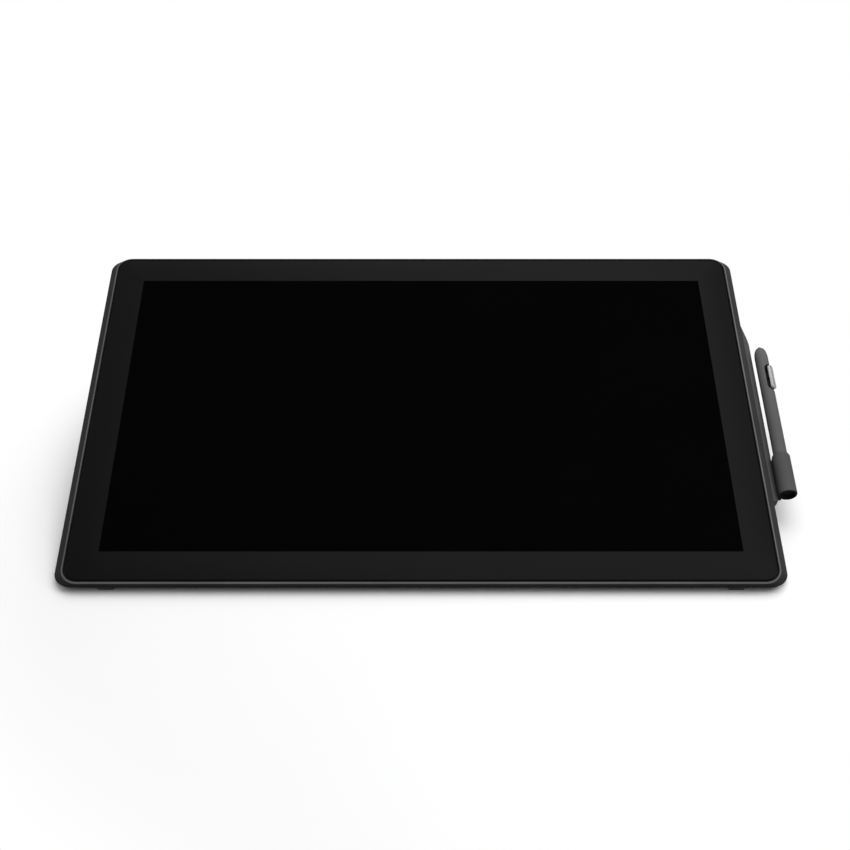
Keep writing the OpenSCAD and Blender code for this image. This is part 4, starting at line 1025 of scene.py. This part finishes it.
def screws(node):
    """Screws of a node: shanks, round heads with a soft edge, and hexagon sockets."""
    bm = bmesh.new()
    sockets = bmesh.new()
    for low, high in solids_of(node):
        x, y = (low.x + high.x) / 2, (low.y + high.y) / 2
        seat = low.z + HEAD_H
        soft = arc((HEAD_R - HEAD_EDGE, low.z + HEAD_EDGE), HEAD_EDGE, 0, -math.pi / 2)
        profile = [(0, high.z), (SHANK_R - SHANK_EDGE_W, high.z), (SHANK_R, high.z - SHANK_EDGE_L),
                   (SHANK_R, seat), (HEAD_R, seat), *soft, (0, low.z)]
        turned(bm, profile, SCREW_AXIS, SCREW_STEPS, middle=(x, y, 0))
        post_tool(sockets, x, y, SOCKET_R, (-low.z - SOCKET_D, -low.z + SOCKET_PAST), SOCKET_SIDES)
    bm = carved(mark(bm, OUTSIDE), mark(sockets, OUTSIDE))
    shade(bm)
    piece(node + "_piece", bm, node)


# Room and light, in metres and watts

FLOOR_HALF = 6.0
FLOOR_PARTS = 4
SHADOW_MIDDLE = (0, -0.1, 0)
SHADOW_REACH = (0.3, 0.42)
HORIZON_LIGHT = (0.03, 0.03, 0.03)
OVERHEAD_LIGHT = (0.4, 0.4, 0.4)
OVERHEAD_FROM = 0.9

# Camera, placed in metres, with its sensor and lens in millimetres
CAMERA_PLACE = Vector((-0.01045, -0.94044, 0.72702))
CAMERA_LOOK = Vector((0, 0.8069, -0.5907))
SENSOR_W = 36
LENS = 54.63
SHIFT_X = 0.0047

# Place, width and power of each lamp
LAMPS = {
    "overhead": ((0.33, 0.17, 2.1), 1.7, 24),
    "front_top": ((0.15, -1.3, 1.8), 1.0, 5),
    "key_right": ((1.4, -0.42, 1.58), 1.1, 11),
    "top_back": ((0.15, 1.5, 2.0), 1.2, 6),
}
LAMP_AIM = Vector((0, 0, 0.05))


def seen_directly(tree):
    """Factor that is 1 for what the camera sees, in the open, in gloss or through clear pieces."""
    path = shader_node(tree, "ShaderNodeLightPath")
    first = shader_node(tree, "ShaderNodeMath", operation="MAXIMUM")
    both = shader_node(tree, "ShaderNodeMath", operation="MAXIMUM")
    tree.links.new(path.outputs["Is Camera Ray"], first.inputs[0])
    tree.links.new(path.outputs["Is Glossy Ray"], first.inputs[1])
    tree.links.new(first.outputs[0], both.inputs[0])
    tree.links.new(path.outputs["Is Transmission Ray"], both.inputs[1])
    return both.outputs[0]


def mixed(tree, share, near, far, output):
    """Lead two shaders to an output, mixed by a share of the far one."""
    mix = shader_node(tree, "ShaderNodeMixShader")
    tree.links.new(share, mix.inputs["Fac"])
    tree.links.new(near, mix.inputs[1])
    tree.links.new(far, mix.inputs[2])
    tree.links.new(mix.outputs[0], tree.nodes[output].inputs["Surface"])


def floor_white():
    """White that takes the object's shadow, and further out is plain white to the camera."""
    made, tree, shader = blank_material("floor_white")
    seen = seen_directly(tree)
    colour = shader_node(tree, "ShaderNodeMix", {"A": FLOOR_BOUNCE}, data_type="RGBA")
    toned(tree, object_noise(tree, FLOOR_CLOUD), WHITE[:3], FLOOR_TONES, colour.inputs["B"])
    tree.links.new(seen, colour.inputs["Factor"])
    tree.links.new(colour.outputs["Result"], shader.inputs["Base Color"])
    shader.inputs["Roughness"].default_value = FLOOR_ROUGHNESS
    shader.inputs["Specular IOR Level"].default_value = 0.0
    place = shader_node(tree, "ShaderNodeTexCoord")
    distance = shader_node(tree, "ShaderNodeVectorMath", {1: SHADOW_MIDDLE}, operation="DISTANCE")
    far = shader_node(tree, "ShaderNodeMapRange",
                      {"From Min": SHADOW_REACH[0], "From Max": SHADOW_REACH[1]},
                      interpolation_type="SMOOTHSTEP")
    share = shader_node(tree, "ShaderNodeMath", operation="MULTIPLY")
    white = shader_node(tree, "ShaderNodeEmission", {"Color": WHITE, "Strength": 1.0})
    tree.links.new(place.outputs["Object"], distance.inputs[0])
    tree.links.new(distance.outputs["Value"], far.inputs["Value"])
    tree.links.new(far.outputs["Result"], share.inputs[0])
    tree.links.new(seen, share.inputs[1])
    mixed(tree, share.outputs[0], shader.outputs[0], white.outputs[0], "Material Output")
    return made


def floor():
    bm = bmesh.new()
    bmesh.ops.create_grid(bm, x_segments=FLOOR_PARTS, y_segments=FLOOR_PARTS, size=FLOOR_HALF)
    mesh = bpy.data.meshes.new("floor")
    bm.to_mesh(mesh)
    bm.free()
    mesh.materials.append(floor_white())
    made = bpy.data.objects.new("floor", mesh)
    bpy.context.scene.collection.objects.link(made)


def world():
    """Soft light that is strongest overhead, behind a backdrop that the camera sees as white."""
    made = bpy.data.worlds.new("studio")
    bpy.context.scene.world = made
    made.use_nodes = True
    tree = made.node_tree
    light = tree.nodes["Background"]
    place = shader_node(tree, "ShaderNodeTexCoord")
    height = shader_node(tree, "ShaderNodeSeparateXYZ")
    tree.links.new(place.outputs["Generated"], height.inputs["Vector"])
    tone = ramp(tree, height.outputs["Z"], [(0.0, HORIZON_LIGHT), (OVERHEAD_FROM, OVERHEAD_LIGHT)])
    tree.links.new(tone, light.inputs["Color"])
    light.inputs["Strength"].default_value = 1.0
    backdrop = shader_node(tree, "ShaderNodeBackground", {"Color": WHITE, "Strength": 1.0})
    mixed(tree, seen_directly(tree), light.outputs[0], backdrop.outputs[0], "World Output")


def area_lamp(name, place, size, power):
    """Square lamp that shines on the object."""
    lamp = bpy.data.lights.new(name, "AREA")
    lamp.shape = "SQUARE"
    lamp.size = size
    lamp.energy = power
    made = bpy.data.objects.new(name, lamp)
    made.location = place
    made.rotation_euler = (LAMP_AIM - Vector(place)).to_track_quat("-Z", "Y").to_euler()
    bpy.context.scene.collection.objects.link(made)


def camera():
    lens = bpy.data.cameras.new("camera")
    lens.sensor_width = SENSOR_W
    lens.lens = LENS
    lens.shift_x = SHIFT_X
    made = bpy.data.objects.new("camera", lens)
    made.location = CAMERA_PLACE
    made.rotation_euler = CAMERA_LOOK.to_track_quat("-Z", "Y").to_euler()
    bpy.context.scene.collection.objects.link(made)
    bpy.context.scene.camera = made


camera()
floor()
world()
for name, (place, size, power) in LAMPS.items():
    area_lamp(name, place, size, power)

for node, made in frame["nodes"].items():
    made.data.materials.clear()
    made.data.materials.append(MATERIALS[node_finish(node)])

cover_glass()
front_frame()
rear_cover()
pen_barrel()
pen_tip()
pen_tail()
pen_switch()
pen_cup()
lever_spring()
for node in ("cover_screws", "bracket_screws", "holder_screws"):
    screws(node)
for node, edge in DRESSED.items():
    dressed(node, edge)

bpy.context.scene.view_settings.view_transform = "Standard"
